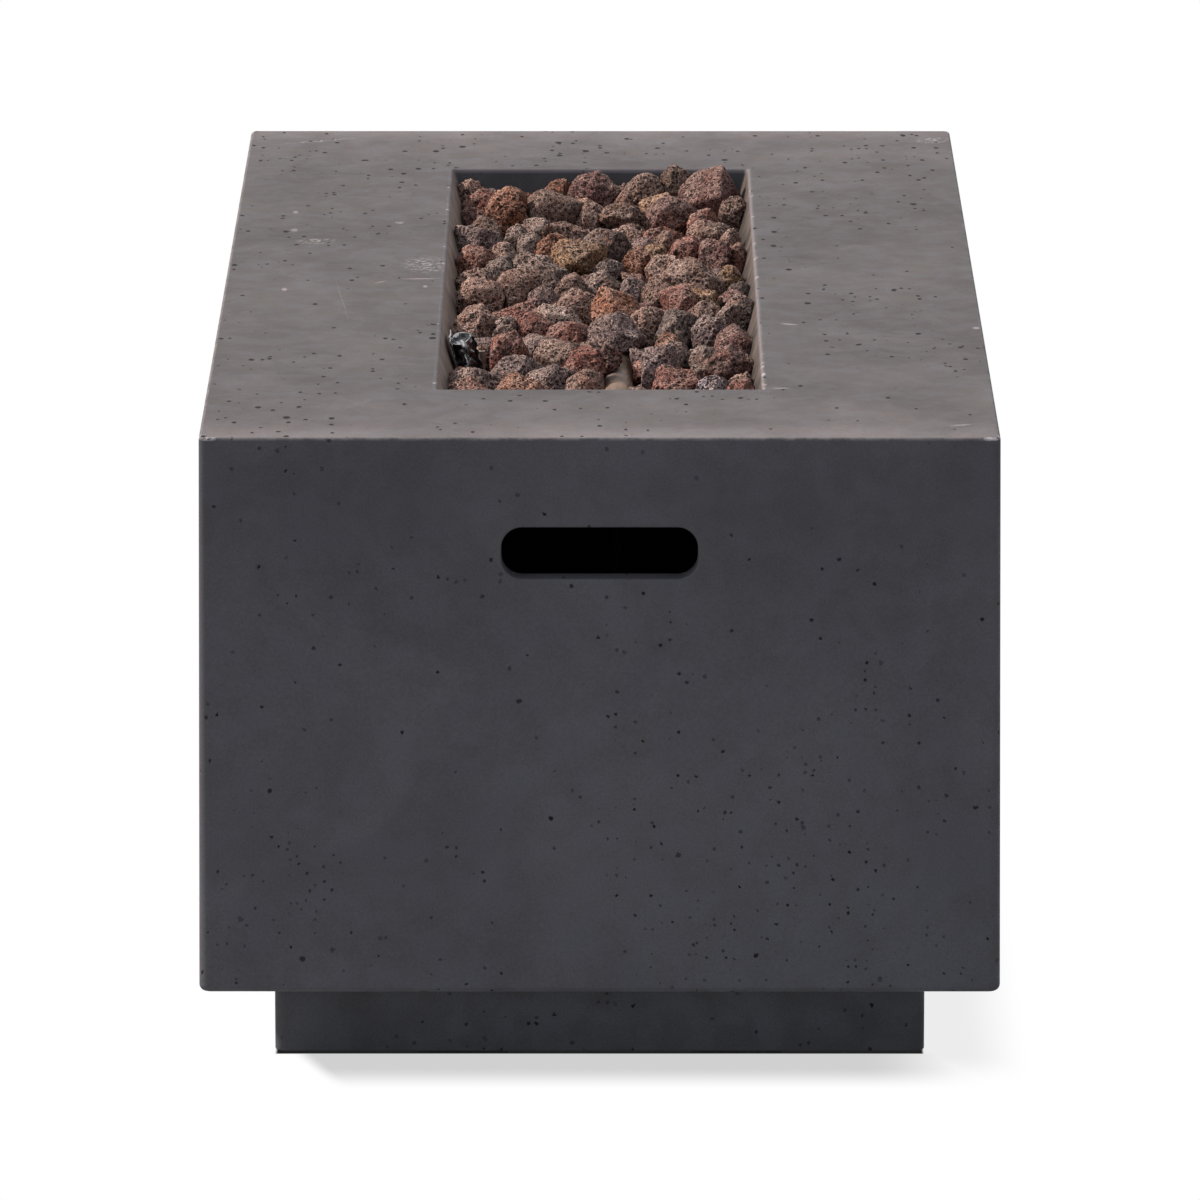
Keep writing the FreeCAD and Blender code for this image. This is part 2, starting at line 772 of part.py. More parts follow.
GUARD_EDGE = "guard_width * 0.4"


def sensor_points():
    """Where the guard's screw, the electrode and the thermocouple pass the pan's floor."""
    screw_y = "guard_y - sensor_spacing / 2"
    electrode_y = "guard_y + sensor_spacing / 2"
    return [screw_y, electrode_y, f"{electrode_y} + probe_spacing"]


def sensor_holes():
    radii = ["small_screw", "electrode_radius", "thermocouple_radius"]
    holes = []
    for index, (y, radius) in enumerate(zip(sensor_points(), radii), 1):
        start = (SENSOR_X, y, "pan_under_z - 1")
        name = f"pan_sensor_hole_{index}"
        holes.append(cylinder(name, "+Z", start, f"{radius} + screw_clearance", "pan_sheet + 2"))
    return holes


def make_burner_pan():
    body = doc.addObject("PartDesign::Body", "pan_pressing")
    flange = new_sketch(body, "pan_flange_outline", "XY_Plane", "collar_z")
    wide = "2 * (collar_x - pan_flange_inset)"
    long = "2 * (collar_y - pan_flange_inset)"
    rounded_rectangle(flange, wide, long, "corner_radius")
    feature(body, "Pad", "pan_flange", flange, "pan_sheet", backwards=True)
    outside = new_sketch(body, "pan_outside", "XY_Plane", "collar_z")
    skin = "pan_sheet / cos(opening_slope * 1 deg)"
    rounded_rectangle(outside, f"2 * (pan_x + {skin})", f"2 * (pan_y + {skin})", "pan_corner")
    under = new_sketch(body, "pan_underside", "XY_Plane", "pan_under_z")
    step_in = f"{skin} - pan_sheet * slope_run"
    wide = f"2 * (pan_floor_x + {step_in})"
    long = f"2 * (pan_floor_y + {step_in})"
    rounded_rectangle(under, wide, long, "pan_corner")
    loft(body, "AdditiveLoft", "pan_tub", [outside, under])
    inside = new_sketch(body, "pan_inside", "XY_Plane", "collar_z")
    rounded_rectangle(inside, "2 * pan_x", "2 * pan_y", "pan_corner")
    floor = new_sketch(body, "pan_floor", "XY_Plane", "pan_floor_z")
    rounded_rectangle(floor, "2 * pan_floor_x", "2 * pan_floor_y", "pan_corner")
    loft(body, "SubtractiveLoft", "pan_hollow", [inside, floor])
    holes = []
    for index, (x, y) in enumerate(pan_screw_points(), 1):
        start = (x, y, "collar_z - pan_sheet - 1")
        name = f"pan_flange_hole_{index}"
        holes.append(cylinder(name, "+Z", start, "pan_screw + screw_clearance", "pan_sheet + 2"))
    under = "pan_under_z - 1"
    through = "pan_sheet + 2"
    start = ("burner_x", "0", under)
    holes.append(cylinder("pan_nipple_hole", "+Z", start, "nipple_radius + screw_clearance", through))
    for index, y in enumerate(saddle_points(), 1):
        start = ("burner_x", f"{y} + {SADDLE_SCREW}", under)
        name = f"pan_saddle_hole_{index}"
        holes.append(cylinder(name, "+Z", start, "pan_screw + screw_clearance", through))
    for index, (side_x, side_y) in enumerate(((-1, -1), (-1, 1), (1, -1), (1, 1)), 1):
        start = (f"{side_x} * pan_floor_x * 0.7", f"{side_y} * pan_floor_y * 0.9", under)
        holes.append(cylinder(f"pan_drain_hole_{index}", "+Z", start, "4", through))
    holes += sensor_holes()
    node(cut("pan_with_holes", body, holes), "burner_pan")


def make_pan_fasteners():
    screws = []
    inserts = []
    for index, (x, y) in enumerate(pan_screw_points(), 1):
        seat = (x, y, "collar_z - pan_sheet")
        length = "pan_sheet + collar_depth * 0.35"
        screws.append(screw(f"pan_screw_{index}", "+Z", seat, "pan_screw", length))
        start = (x, y, "collar_z")
        inserts.append(insert(f"pan_insert_{index}", "+Z", start, "pan_screw", PAN_INSERT_LENGTH))
    node(group("pan_screw_group", screws), "pan_screws")
    node(group("pan_insert_group", inserts), "pan_screw_inserts")


def make_burner():
    """A closed tube with two rows of ports and a threaded nipple down through the pan."""
    front = ("burner_x", "-burner_length / 2", "burner_z")
    bore = "burner_radius - burner_sheet"
    middle = ("burner_x", "0", "burner_z")
    drop = "burner_z - pan_under_z + nipple_length"
    pipe = cylinder("burner_pipe", "+Y", front, "burner_radius", "burner_length")
    nipple = cylinder("burner_nipple", "-Z", middle, "nipple_radius", drop)
    tools = [cylinder("burner_bore", "+Y", front, bore, "burner_length")]
    tools.append(cylinder("nipple_bore_hole", "-Z", middle, "nipple_bore", drop))
    run = mm("burner_length - 2 * cap_depth - port_pitch")
    count = int(run // mm("port_pitch")) + 1
    for side in (-1, 1):
        for index, share in enumerate(signs(count), 1):
            row = "left" if side < 0 else "right"
            port = doc.addObject("Part::Cylinder", f"port_{row}_{index}")
            port.setExpression("Radius", expand("port_radius"))
            port.setExpression("Height", expand("burner_radius + 1"))
            port.Placement = Placement(Vector(), Rotation(Vector(0, side, 0), mm("port_angle")))
            port.setExpression("Placement.Rotation.Angle", expand("port_angle * 1 deg"))
            place(port, "burner_x", f"{share} * port_pitch", "burner_z")
            tools.append(port)
    node(cut("burner_drilled", fuse("burner_blank", [pipe, nipple]), tools), "burner_tube")

    caps = []
    for index, (side, axis) in enumerate(((-1, "-Y"), (1, "+Y")), 1):
        end = ("burner_x", f"{side} * burner_length / 2", "burner_z")
        inward = opposite(axis)
        plug = cylinder(f"cap_plug_{index}", inward, end, f"{bore} - insert_clearance", "cap_depth")
        rim = cylinder(f"cap_rim_{index}", axis, end, "burner_radius", "cap_rim")
        inner = step(end, inward, "cap_rim")
        hollow_radius = f"{bore} - insert_clearance - burner_sheet"
        hollow = cylinder(f"cap_hollow_{index}", inward, inner, hollow_radius, "cap_depth")
        caps.append(cut(f"burner_cap_{index}", fuse(f"cap_blank_{index}", [plug, rim]), [hollow]))
    node(group("burner_cap_group", caps), "burner_end_caps")

    saddles = []
    screws = []
    nuts = []
    for index, y in enumerate(saddle_points(), 1):
        low = ("burner_x - saddle_width / 2", y, "pan_floor_z")
        rise = "burner_z - pan_floor_z - burner_radius / 2"
        upright = box(f"saddle_upright_{index}", low, ("saddle_width", "saddle_sheet", rise))
        foot_size = ("saddle_width", "saddle_sheet + saddle_foot", "saddle_sheet")
        foot = box(f"saddle_foot_{index}", low, foot_size)
        seat_start = ("burner_x", f"{y} - 1", "burner_z")
        seat_radius = "burner_radius + insert_clearance"
        seat = cylinder(f"saddle_seat_{index}", "+Y", seat_start, seat_radius, "saddle_sheet + 2")
        hole_at = ("burner_x", f"{y} + {SADDLE_SCREW}", "pan_floor_z - 1")
        hole_radius = "pan_screw + screw_clearance"
        hole = cylinder(f"saddle_hole_{index}", "+Z", hole_at, hole_radius, "saddle_sheet + 2")
        blank = fuse(f"saddle_blank_{index}", [upright, foot])
        saddles.append(cut(f"saddle_{index}", blank, [seat, hole]))
        head_seat = ("burner_x", f"{y} + {SADDLE_SCREW}", "pan_floor_z + saddle_sheet")
        length = "saddle_sheet + pan_sheet + nut_height + 2"
        screws.append(screw(f"saddle_screw_{index}", "-Z", head_seat, "pan_screw", length))
        under = ("burner_x", f"{y} + {SADDLE_SCREW}", "pan_under_z")
        nut_bore = "pan_screw + insert_clearance"
        nuts.append(nut(f"saddle_nut_{index}", "-Z", under, "pan_screw * 2", nut_bore, "nut_height"))
    node(group("saddle_group", saddles), "burner_saddles")
    node(group("saddle_screw_group", screws), "saddle_screws")
    node(group("saddle_nut_group", nuts), "saddle_nuts")


MIXER_TOP = "(pan_under_z - locknut_height - 1)"
MIXER_FOOT = f"({MIXER_TOP} - mixer_length)"
ORIFICE_FOOT = f"({MIXER_FOOT} - inlet_hex_height - mixer_base)"


def make_mixer():
    """Locknut, air mixer and gas orifice, one above the other under the pan."""
    under = ("burner_x", "0", "pan_under_z")
    bore = "nipple_radius + insert_clearance"
    locknut = nut("locknut_blank", "-Z", under, "locknut_radius", bore, "locknut_height")
    node(locknut, "pan_locknut")
    top = ("burner_x", "0", MIXER_TOP)
    body = cylinder("mixer_body", "-Z", top, "mixer_radius", "mixer_length")
    socket = cylinder("mixer_socket", "-Z", top, bore, "nipple_length - locknut_height - 1")
    throat = cylinder("mixer_throat", "-Z", top, "nipple_bore", "mixer_length - mixer_base")
    seat = cylinder("mixer_seat", "-Z", top, "orifice_radius + insert_clearance", "mixer_length")
    tools = [socket, throat, seat]
    window_z = f"{MIXER_FOOT} + mixer_base + 2"
    half = "mixer_window / 2"
    long = "2 * mixer_radius + 2"
    low = ("burner_x - mixer_radius - 1", f"-{half}", window_z)
    tools.append(box("mixer_window_across", low, (long, "mixer_window", "mixer_window")))
    low = (f"burner_x - {half}", "-mixer_radius - 1", window_z)
    tools.append(box("mixer_window_along", low, ("mixer_window", long, "mixer_window")))
    node(cut("mixer_drilled", body, tools), "air_mixer")
    foot = ("burner_x", "0", MIXER_FOOT)
    spigot = cylinder("orifice_spigot", "+Z", foot, "orifice_radius", "mixer_base + 3")
    collar = prism("orifice_hex", "-Z", foot, "orifice_hex_radius", "inlet_hex_height")
    stub_start = ("burner_x", "0", f"{MIXER_FOOT} - inlet_hex_height")
    stub = cylinder("orifice_stub", "-Z", stub_start, "orifice_radius", "mixer_base")
    end = ("burner_x", "0", ORIFICE_FOOT)
    supply = cylinder("orifice_supply", "+Z", end, "gas_tube_bore", "inlet_hex_height + mixer_base")
    jet = cylinder("orifice_jet", "+Z", end, "orifice_bore", "100")
    blank = fuse("orifice_blank", [spigot, collar, stub])
    node(cut("orifice_drilled", blank, [supply, jet]), "gas_orifice")


# Tubes and leads that run inside the body
def route_wire(points):
    """Straight runs joined by tangent arcs, as large as the runs at each point allow."""
    radii = []
    edges = []
    start = points[0]
    for index in range(1, len(points) - 1):
        corner = points[index]
        into = corner - points[index - 1]
        out = points[index + 1] - corner
        turn = into.getAngle(out)
        reach = 0.45 * min(into.Length, out.Length)
        radius = reach / math.tan(turn / 2)
        radii.append(round(radius, 1))
        arc_start = corner - into.normalize() * reach
        arc_end = corner + out.normalize() * reach
        bisector = (arc_start + arc_end) * 0.5 - corner
        centre = corner + bisector.normalize() * math.hypot(radius, reach)
        middle = centre + (corner - centre).normalize() * radius
        edges.append(Part.LineSegment(start, arc_start).toShape())
        edges.append(Part.Arc(arc_start, middle, arc_end).toShape())
        start = arc_end
    edges.append(Part.LineSegment(start, points[-1]).toShape())
    return Part.Wire(edges), radii


def swept(wire, radius):
    """A round solid along a wire."""
    start = wire.Edges[0].valueAt(wire.Edges[0].FirstParameter)
    way = wire.Edges[0].tangentAt(wire.Edges[0].FirstParameter)
    circle = Part.Wire(Part.makeCircle(radius, start, way))
    return wire.makePipeShell([circle], True, False)


def routed(label, route, radius, bore=None):
    """A tube or lead along a route of points, each three expressions."""
    points = [Vector(*(mm(text) for text in point)) for point in route]
    wire, radii = route_wire(points)
    solid = swept(wire, mm(radius))
    if bore:
        solid = solid.cut(swept(wire, mm(bore)))
    item = doc.addObject("Part::Feature", label)
    item.Shape = solid
    item.Placement = Placement()
    area = math.pi * (mm(radius) ** 2 - (mm(bore) ** 2 if bore else 0))
    print(f"{label}: length {wire.Length:.0f} mm, radii {radii}, "
          f"volume {solid.Volume:.0f} against {area * wire.Length:.0f}")
    return node(item, label)


VALVE_REAR = "(panel_x + valve_length + outlet_length)"
IGNITER_FRONT = "(panel_x - panel_sheet - igniter_rim)"
IGNITER_DEPTH = "(button_length - button_proud + button_spring + battery_length)"
IGNITER_BODY_END = f"({IGNITER_FRONT} + {IGNITER_DEPTH} + igniter_end_wall)"
IGNITER_REAR = f"({IGNITER_BODY_END} + igniter_terminal)"
THERMO_PORT_X = "(panel_x + valve_length * 0.7)"
THERMO_PORT_Z = "(window_z + valve_size / 2 + thermo_port_length)"
SENSOR_FOOT = "(pan_under_z - sensor_below_pan)"


def make_lines():
    low_z = "window_z - gas_tube_sag"
    gas_route = [
        (VALVE_REAR, "knob_y", "window_z"),
        (f"{VALVE_REAR} + 92", "knob_y", "window_z"),
        ("burner_x", "knob_y * 0.55", low_z),
        ("burner_x", "0", low_z),
        ("burner_x", "0", ORIFICE_FOOT),
    ]
    routed("gas_tube", gas_route, "gas_tube_radius", "gas_tube_bore")
    _, electrode_y, thermo_y = sensor_points()
    spark_route = [
        (IGNITER_REAR, "igniter_y", "window_z"),
        (f"{IGNITER_REAR} + 34", "igniter_y", "window_z"),
        (SENSOR_X, electrode_y, f"{SENSOR_FOOT} - 54"),
        (SENSOR_X, electrode_y, SENSOR_FOOT),
    ]
    routed("igniter_lead", spark_route, "lead_radius")
    across = f"({SENSOR_X} - {THERMO_PORT_X})"
    along = f"({thermo_y} - knob_y)"
    thermo_route = [
        (THERMO_PORT_X, "knob_y", THERMO_PORT_Z),
        (THERMO_PORT_X, "knob_y", f"{THERMO_PORT_Z} + 38"),
        (f"{THERMO_PORT_X} + {across} / 2", f"knob_y + {along} / 2", f"{THERMO_PORT_Z} + 47"),
        (SENSOR_X, thermo_y, f"{SENSOR_FOOT} - 38"),
        (SENSOR_X, thermo_y, SENSOR_FOOT),
    ]
    routed("thermocouple_lead", thermo_route, "lead_radius")


# Control recess, valve and knob
def make_control_recess():
    """A sheet box behind the window, with a flange on the wall and a seat for the panel."""
    half_y = "window_width / 2"
    half_z = "window_height / 2"

    def slab(name, start_x, deep, grow):
        low = (start_x, f"window_y - {half_y} - ({grow})", f"window_z - {half_z} - ({grow})")
        return box(name, low, (deep, f"window_width + 2 * ({grow})", f"window_height + 2 * ({grow})"))

    sleeve = slab("recess_sleeve", "-cavity_x", "recess_depth + recess_sheet", "recess_sheet")
    flange = slab("recess_flange_plate", "-cavity_x", "recess_sheet", "recess_sheet + recess_flange")
    room = slab("recess_room", "-cavity_x - 1", "recess_depth + 1", "0")
    back = slab("recess_back", "-cavity_x", "recess_depth + 10", "-panel_seat")
    tools = [room, back]
    for index, start in enumerate(recess_screw_points(), 1):
        inward = step(start, "-X", "1")
        radius = "small_screw + screw_clearance"
        tools.append(cylinder(f"recess_hole_{index}", "+X", inward, radius, "recess_sheet + 2"))
    for index, (y, z) in enumerate(panel_screw_points(), 1):
        start = ("panel_x - 1", y, z)
        radius = "small_screw + insert_clearance"
        tools.append(cylinder(f"recess_thread_{index}", "+X", start, radius, "recess_sheet + 2"))
    blank = fuse("recess_blank", [sleeve, flange])
    node(cut("recess_finished", blank, tools), "control_recess")

    panel = slab("panel_plate", "panel_x - panel_sheet", "panel_sheet", "-panel_gap")
    tools = []
    for index, (y, z) in enumerate(panel_screw_points(), 1):
        start = ("panel_x - panel_sheet - 1", y, z)
        radius = "small_screw + screw_clearance"
        tools.append(cylinder(f"panel_hole_{index}", "+X", start, radius, "panel_sheet + 2"))
    start = ("panel_x - panel_sheet - 1", "knob_y", "window_z")
    radius = "valve_boss_radius + screw_clearance"
    tools.append(cylinder("panel_valve_hole", "+X", start, radius, "panel_sheet + 2"))
    start = ("panel_x - panel_sheet - 1", "igniter_y", "window_z")
    radius = "igniter_radius + screw_clearance"
    tools.append(cylinder("panel_igniter_hole", "+X", start, radius, "panel_sheet + 2"))
    node(cut("panel_finished", panel, tools), "control_panel")

    screws = []
    inserts = []
    for index, start in enumerate(recess_screw_points(), 1):
        seat = step(start, "+X", "recess_sheet")
        length = "recess_sheet + wall * 0.6"
        screws.append(screw(f"recess_screw_{index}", "-X", seat, "small_screw", length))
        name = f"recess_insert_{index}"
        inserts.append(insert(name, "-X", start, "small_screw", WALL_INSERT_LENGTH))
    node(group("recess_screw_group", screws), "recess_screws")
    node(group("recess_insert_group", inserts), "recess_screw_inserts")
    screws = []
    for index, (y, z) in enumerate(panel_screw_points(), 1):
        seat = ("panel_x - panel_sheet", y, z)
        length = "panel_sheet + recess_sheet + 3"
        screws.append(screw(f"panel_screw_{index}", "+X", seat, "small_screw", length))
    node(group("panel_screw_group", screws), "panel_screws")


def panel_screw_points():
    points = []
    for side_y in (-1, 1):
        for side_z in (-1, 1):
            y = f"window_y + {side_y} * (window_width / 2 - panel_seat / 2)"
            z = f"window_z + {side_z} * (window_height / 2 - panel_seat / 2)"
            points.append((y, z))
    return points


BOSS_FRONT = "(panel_x - panel_sheet - nut_height - 1)"
CHAMBER_FRONT = "(panel_x + valve_front_wall)"
CHAMBER_LENGTH = "(valve_length - 2 * valve_front_wall)"
COLLAR_X = f"({CHAMBER_FRONT} + 0.3)"
WASHER_X = f"({COLLAR_X} + 2)"
KNOB_REAR = "(panel_x - panel_sheet - knob_travel - knob_play)"


def make_valve():
    """Gas valve behind the panel, held by its boss and nut, with its sprung pusher."""
    low = ("panel_x", "knob_y - valve_size / 2", "window_z - valve_size / 2")
    block = box("valve_block", low, ("valve_length", "valve_size", "valve_size"))
    boss_start = (BOSS_FRONT, "knob_y", "window_z")
    boss = cylinder("valve_boss", "+X", boss_start, "valve_boss_radius", f"panel_x + 1 - {BOSS_FRONT}")
    outlet_start = ("panel_x + valve_length - 1", "knob_y", "window_z")
    outlet = cylinder("valve_outlet", "+X", outlet_start, "outlet_radius", "outlet_length + 1")
    port_start = (THERMO_PORT_X, "knob_y", "window_z + valve_size / 2 - 1")
    port = cylinder("valve_port", "+Z", port_start, "thermo_port_radius", "thermo_port_length + 1")
    chamber_start = (CHAMBER_FRONT, "knob_y", "window_z")
    chamber_radius = "valve_chamber_radius"
    chamber = cylinder("valve_chamber", "+X", chamber_start, chamber_radius, CHAMBER_LENGTH)
    bore_radius = "stem_radius + run_clearance"
    bore = cylinder("valve_bore", "+X", boss_start, bore_radius, f"panel_x + 8 - {BOSS_FRONT}")
    way_out = cylinder("valve_way_out", "+X", chamber_start, "gas_tube_bore", "valve_length + 10")
    under = (THERMO_PORT_X, "knob_y", "window_z - valve_size / 2")
    socket_radius = "inlet_spigot_radius + insert_clearance"
    socket = cylinder("valve_socket", "+Z", under, socket_radius, "inlet_spigot")
    way_in = cylinder("valve_way_in", "+Z", under, "inlet_bore", "valve_size / 2")
    blank = fuse("valve_blank", [block, boss, outlet, port])
    node(cut("valve_drilled", blank, [chamber, bore, way_out, socket, way_in]), "gas_valve")

    nut_start = ("panel_x - panel_sheet", "knob_y", "window_z")
    bore_radius = "valve_boss_radius + insert_clearance"
    boss_nut = nut("boss_nut", "-X", nut_start, "valve_nut_radius", bore_radius, "nut_height")
    node(boss_nut, "valve_nut")

    spigot = cylinder("inlet_spigot_pin", "+Z", under, "inlet_spigot_radius", "inlet_spigot")
    collar = prism("inlet_hex", "-Z", under, "inlet_hex_radius", "inlet_hex_height")
    flare_start = step(under, "-Z", "inlet_hex_height")
    flare = cylinder("inlet_flare", "-Z", flare_start, "inlet_radius", "inlet_length")
    end = step(flare_start, "-Z", "inlet_length")
    bore = cylinder("inlet_bore_hole", "+Z", end, "inlet_bore", "inlet_length + inlet_hex_height + 20")
    node(cut("inlet_drilled", fuse("inlet_blank", [spigot, collar, flare]), [bore]), "gas_inlet_fitting")

    washer_start = (WASHER_X, "knob_y", "window_z")
    hole = "stem_radius + run_clearance"
    washer = tube("pusher", "+X", washer_start, "valve_chamber_radius - 1", hole, "2.5")
    node(washer, "valve_pusher")
    spring_start = step(washer_start, "+X", "2.5")
    spring_length = f"{CHAMBER_FRONT} + {CHAMBER_LENGTH} - {WASHER_X} - 2.5"
    inner = "spring_radius - spring_wire"
    spring = tube("return_spring", "+X", spring_start, "spring_radius", inner, spring_length)
    node(spring, "valve_spring")


def make_knob():
    """Stem and knob, which turn together: a skirt, a fluted grip and a pointer line."""
    grip_length = "knob_length - knob_skirt"
    rear = (KNOB_REAR, "knob_y", "window_z")
    stem_start = (f"{WASHER_X} + 6", "knob_y", "window_z")
    stem_length = f"{WASHER_X} + 6 - {KNOB_REAR} + knob_length * 0.7"
    stem = cylinder("stem_rod", "-X", stem_start, "stem_radius", stem_length)
    collar_start = (COLLAR_X, "knob_y", "window_z")
    collar = cylinder("stem_collar", "+X", collar_start, "stem_radius + 3", "1.9")
    node(fuse("stem", [stem, collar]), "valve_stem")

    skirt = cylinder("knob_skirt_disc", "-X", rear, "knob_radius", "knob_skirt")
    grip_start = step(rear, "-X", "knob_skirt")
    grip = cylinder("knob_grip", "-X", grip_start, "knob_grip_radius", grip_length)
    hollow = cylinder("knob_hollow_room", "-X", rear, "valve_nut_radius + 1.5", "knob_hollow")
    hole = cylinder("knob_bore", "-X", rear, "stem_radius + insert_clearance", "knob_length * 0.75")
    tools = [hollow, hole]
    flutes = 14
    for index in range(flutes):
        angle = 360 / flutes * (index + 0.5)
        around = "(knob_grip_radius + 1.2)"
        y = f"knob_y + {around} * cos({angle} * 1 deg)"
        z = f"window_z + {around} * sin({angle} * 1 deg)"
        start = step((KNOB_REAR, y, z), "-X", "knob_skirt")
        tools.append(cylinder(f"knob_flute_{index}", "-X", start, "2.2", grip_length))
    line_low = (f"{KNOB_REAR} - knob_length", "knob_y - 0.8", "window_z + knob_grip_radius * 0.35")
    tools.append(box("knob_line", line_low, ("1", "1.6", "knob_grip_radius")))
    rounded_grip = doc.addObject("Part::Fillet", "knob_rounded")
    blank = fuse("knob_blank", [skirt, grip])
    rounded_grip.Base = blank
    doc.recompute()
    face_x = mm(f"{KNOB_REAR} - knob_length")
    edges = []
    for index, edge in enumerate(blank.Shape.Edges, 1):
        if near(edge.BoundBox.XMin, face_x) and near(edge.BoundBox.XMax, face_x):
            edges.append((index, 2.0, 2.0))
    rounded_grip.Edges = edges
    node(cut("knob_finished", rounded_grip, tools), "control_knob")


def make_igniter():
    """Push button spark igniter: a sleeve with battery, spring and button, and its nut."""
    front = (IGNITER_FRONT, "igniter_y", "window_z")
    rim = cylinder("igniter_rim_disc", "+X", front, "igniter_rim_radius", "igniter_rim")
    sleeve_length = f"{IGNITER_BODY_END} - {IGNITER_FRONT}"
    sleeve = cylinder("igniter_sleeve", "+X", front, "igniter_radius", sleeve_length)
    terminal_start = (f"{IGNITER_BODY_END} - 1", "igniter_y", "window_z")
    terminal_length = "igniter_terminal + 1"
    radius = "igniter_terminal_radius"
    terminal = cylinder("igniter_terminal_pin", "+X", terminal_start, radius, terminal_length)
    bore_radius = "button_radius + button_clearance"
    bore = cylinder("igniter_bore_hole", "+X", front, bore_radius, IGNITER_DEPTH)
    blank = fuse("igniter_blank", [rim, sleeve, terminal])
    node(cut("igniter_finished", blank, [bore]), "igniter_body")

    nut_start = ("panel_x", "igniter_y", "window_z")
    bore_radius = "igniter_radius + insert_clearance"
    ring = nut("igniter_ring", "+X", nut_start, "igniter_nut_radius", bore_radius, "nut_height")
    node(ring, "igniter_nut")

    button_start = step(front, "-X", "button_proud")
    button = cylinder("button_cap", "+X", button_start, "button_radius", "button_length")
    hollow_start = step(button_start, "+X", "3")
    hollow = cylinder("button_hollow", "+X", hollow_start, "button_radius - 2", "button_length")
    node(cut("button_finished", button, [hollow]), "igniter_button")

    spring_start = step(button_start, "+X", "button_length")
    spring_outer = "button_radius - 0.3"
    spring_inner = "button_radius - 0.3 - spring_wire"
    spring = tube("button_return", "+X", spring_start, spring_outer, spring_inner, "button_spring")
    node(spring, "button_spring")
    battery_start = step(spring_start, "+X", "button_spring")
    can = cylinder("battery_can", "+X", battery_start, "battery_radius", "battery_length - 0.2")
    node(can, "battery")


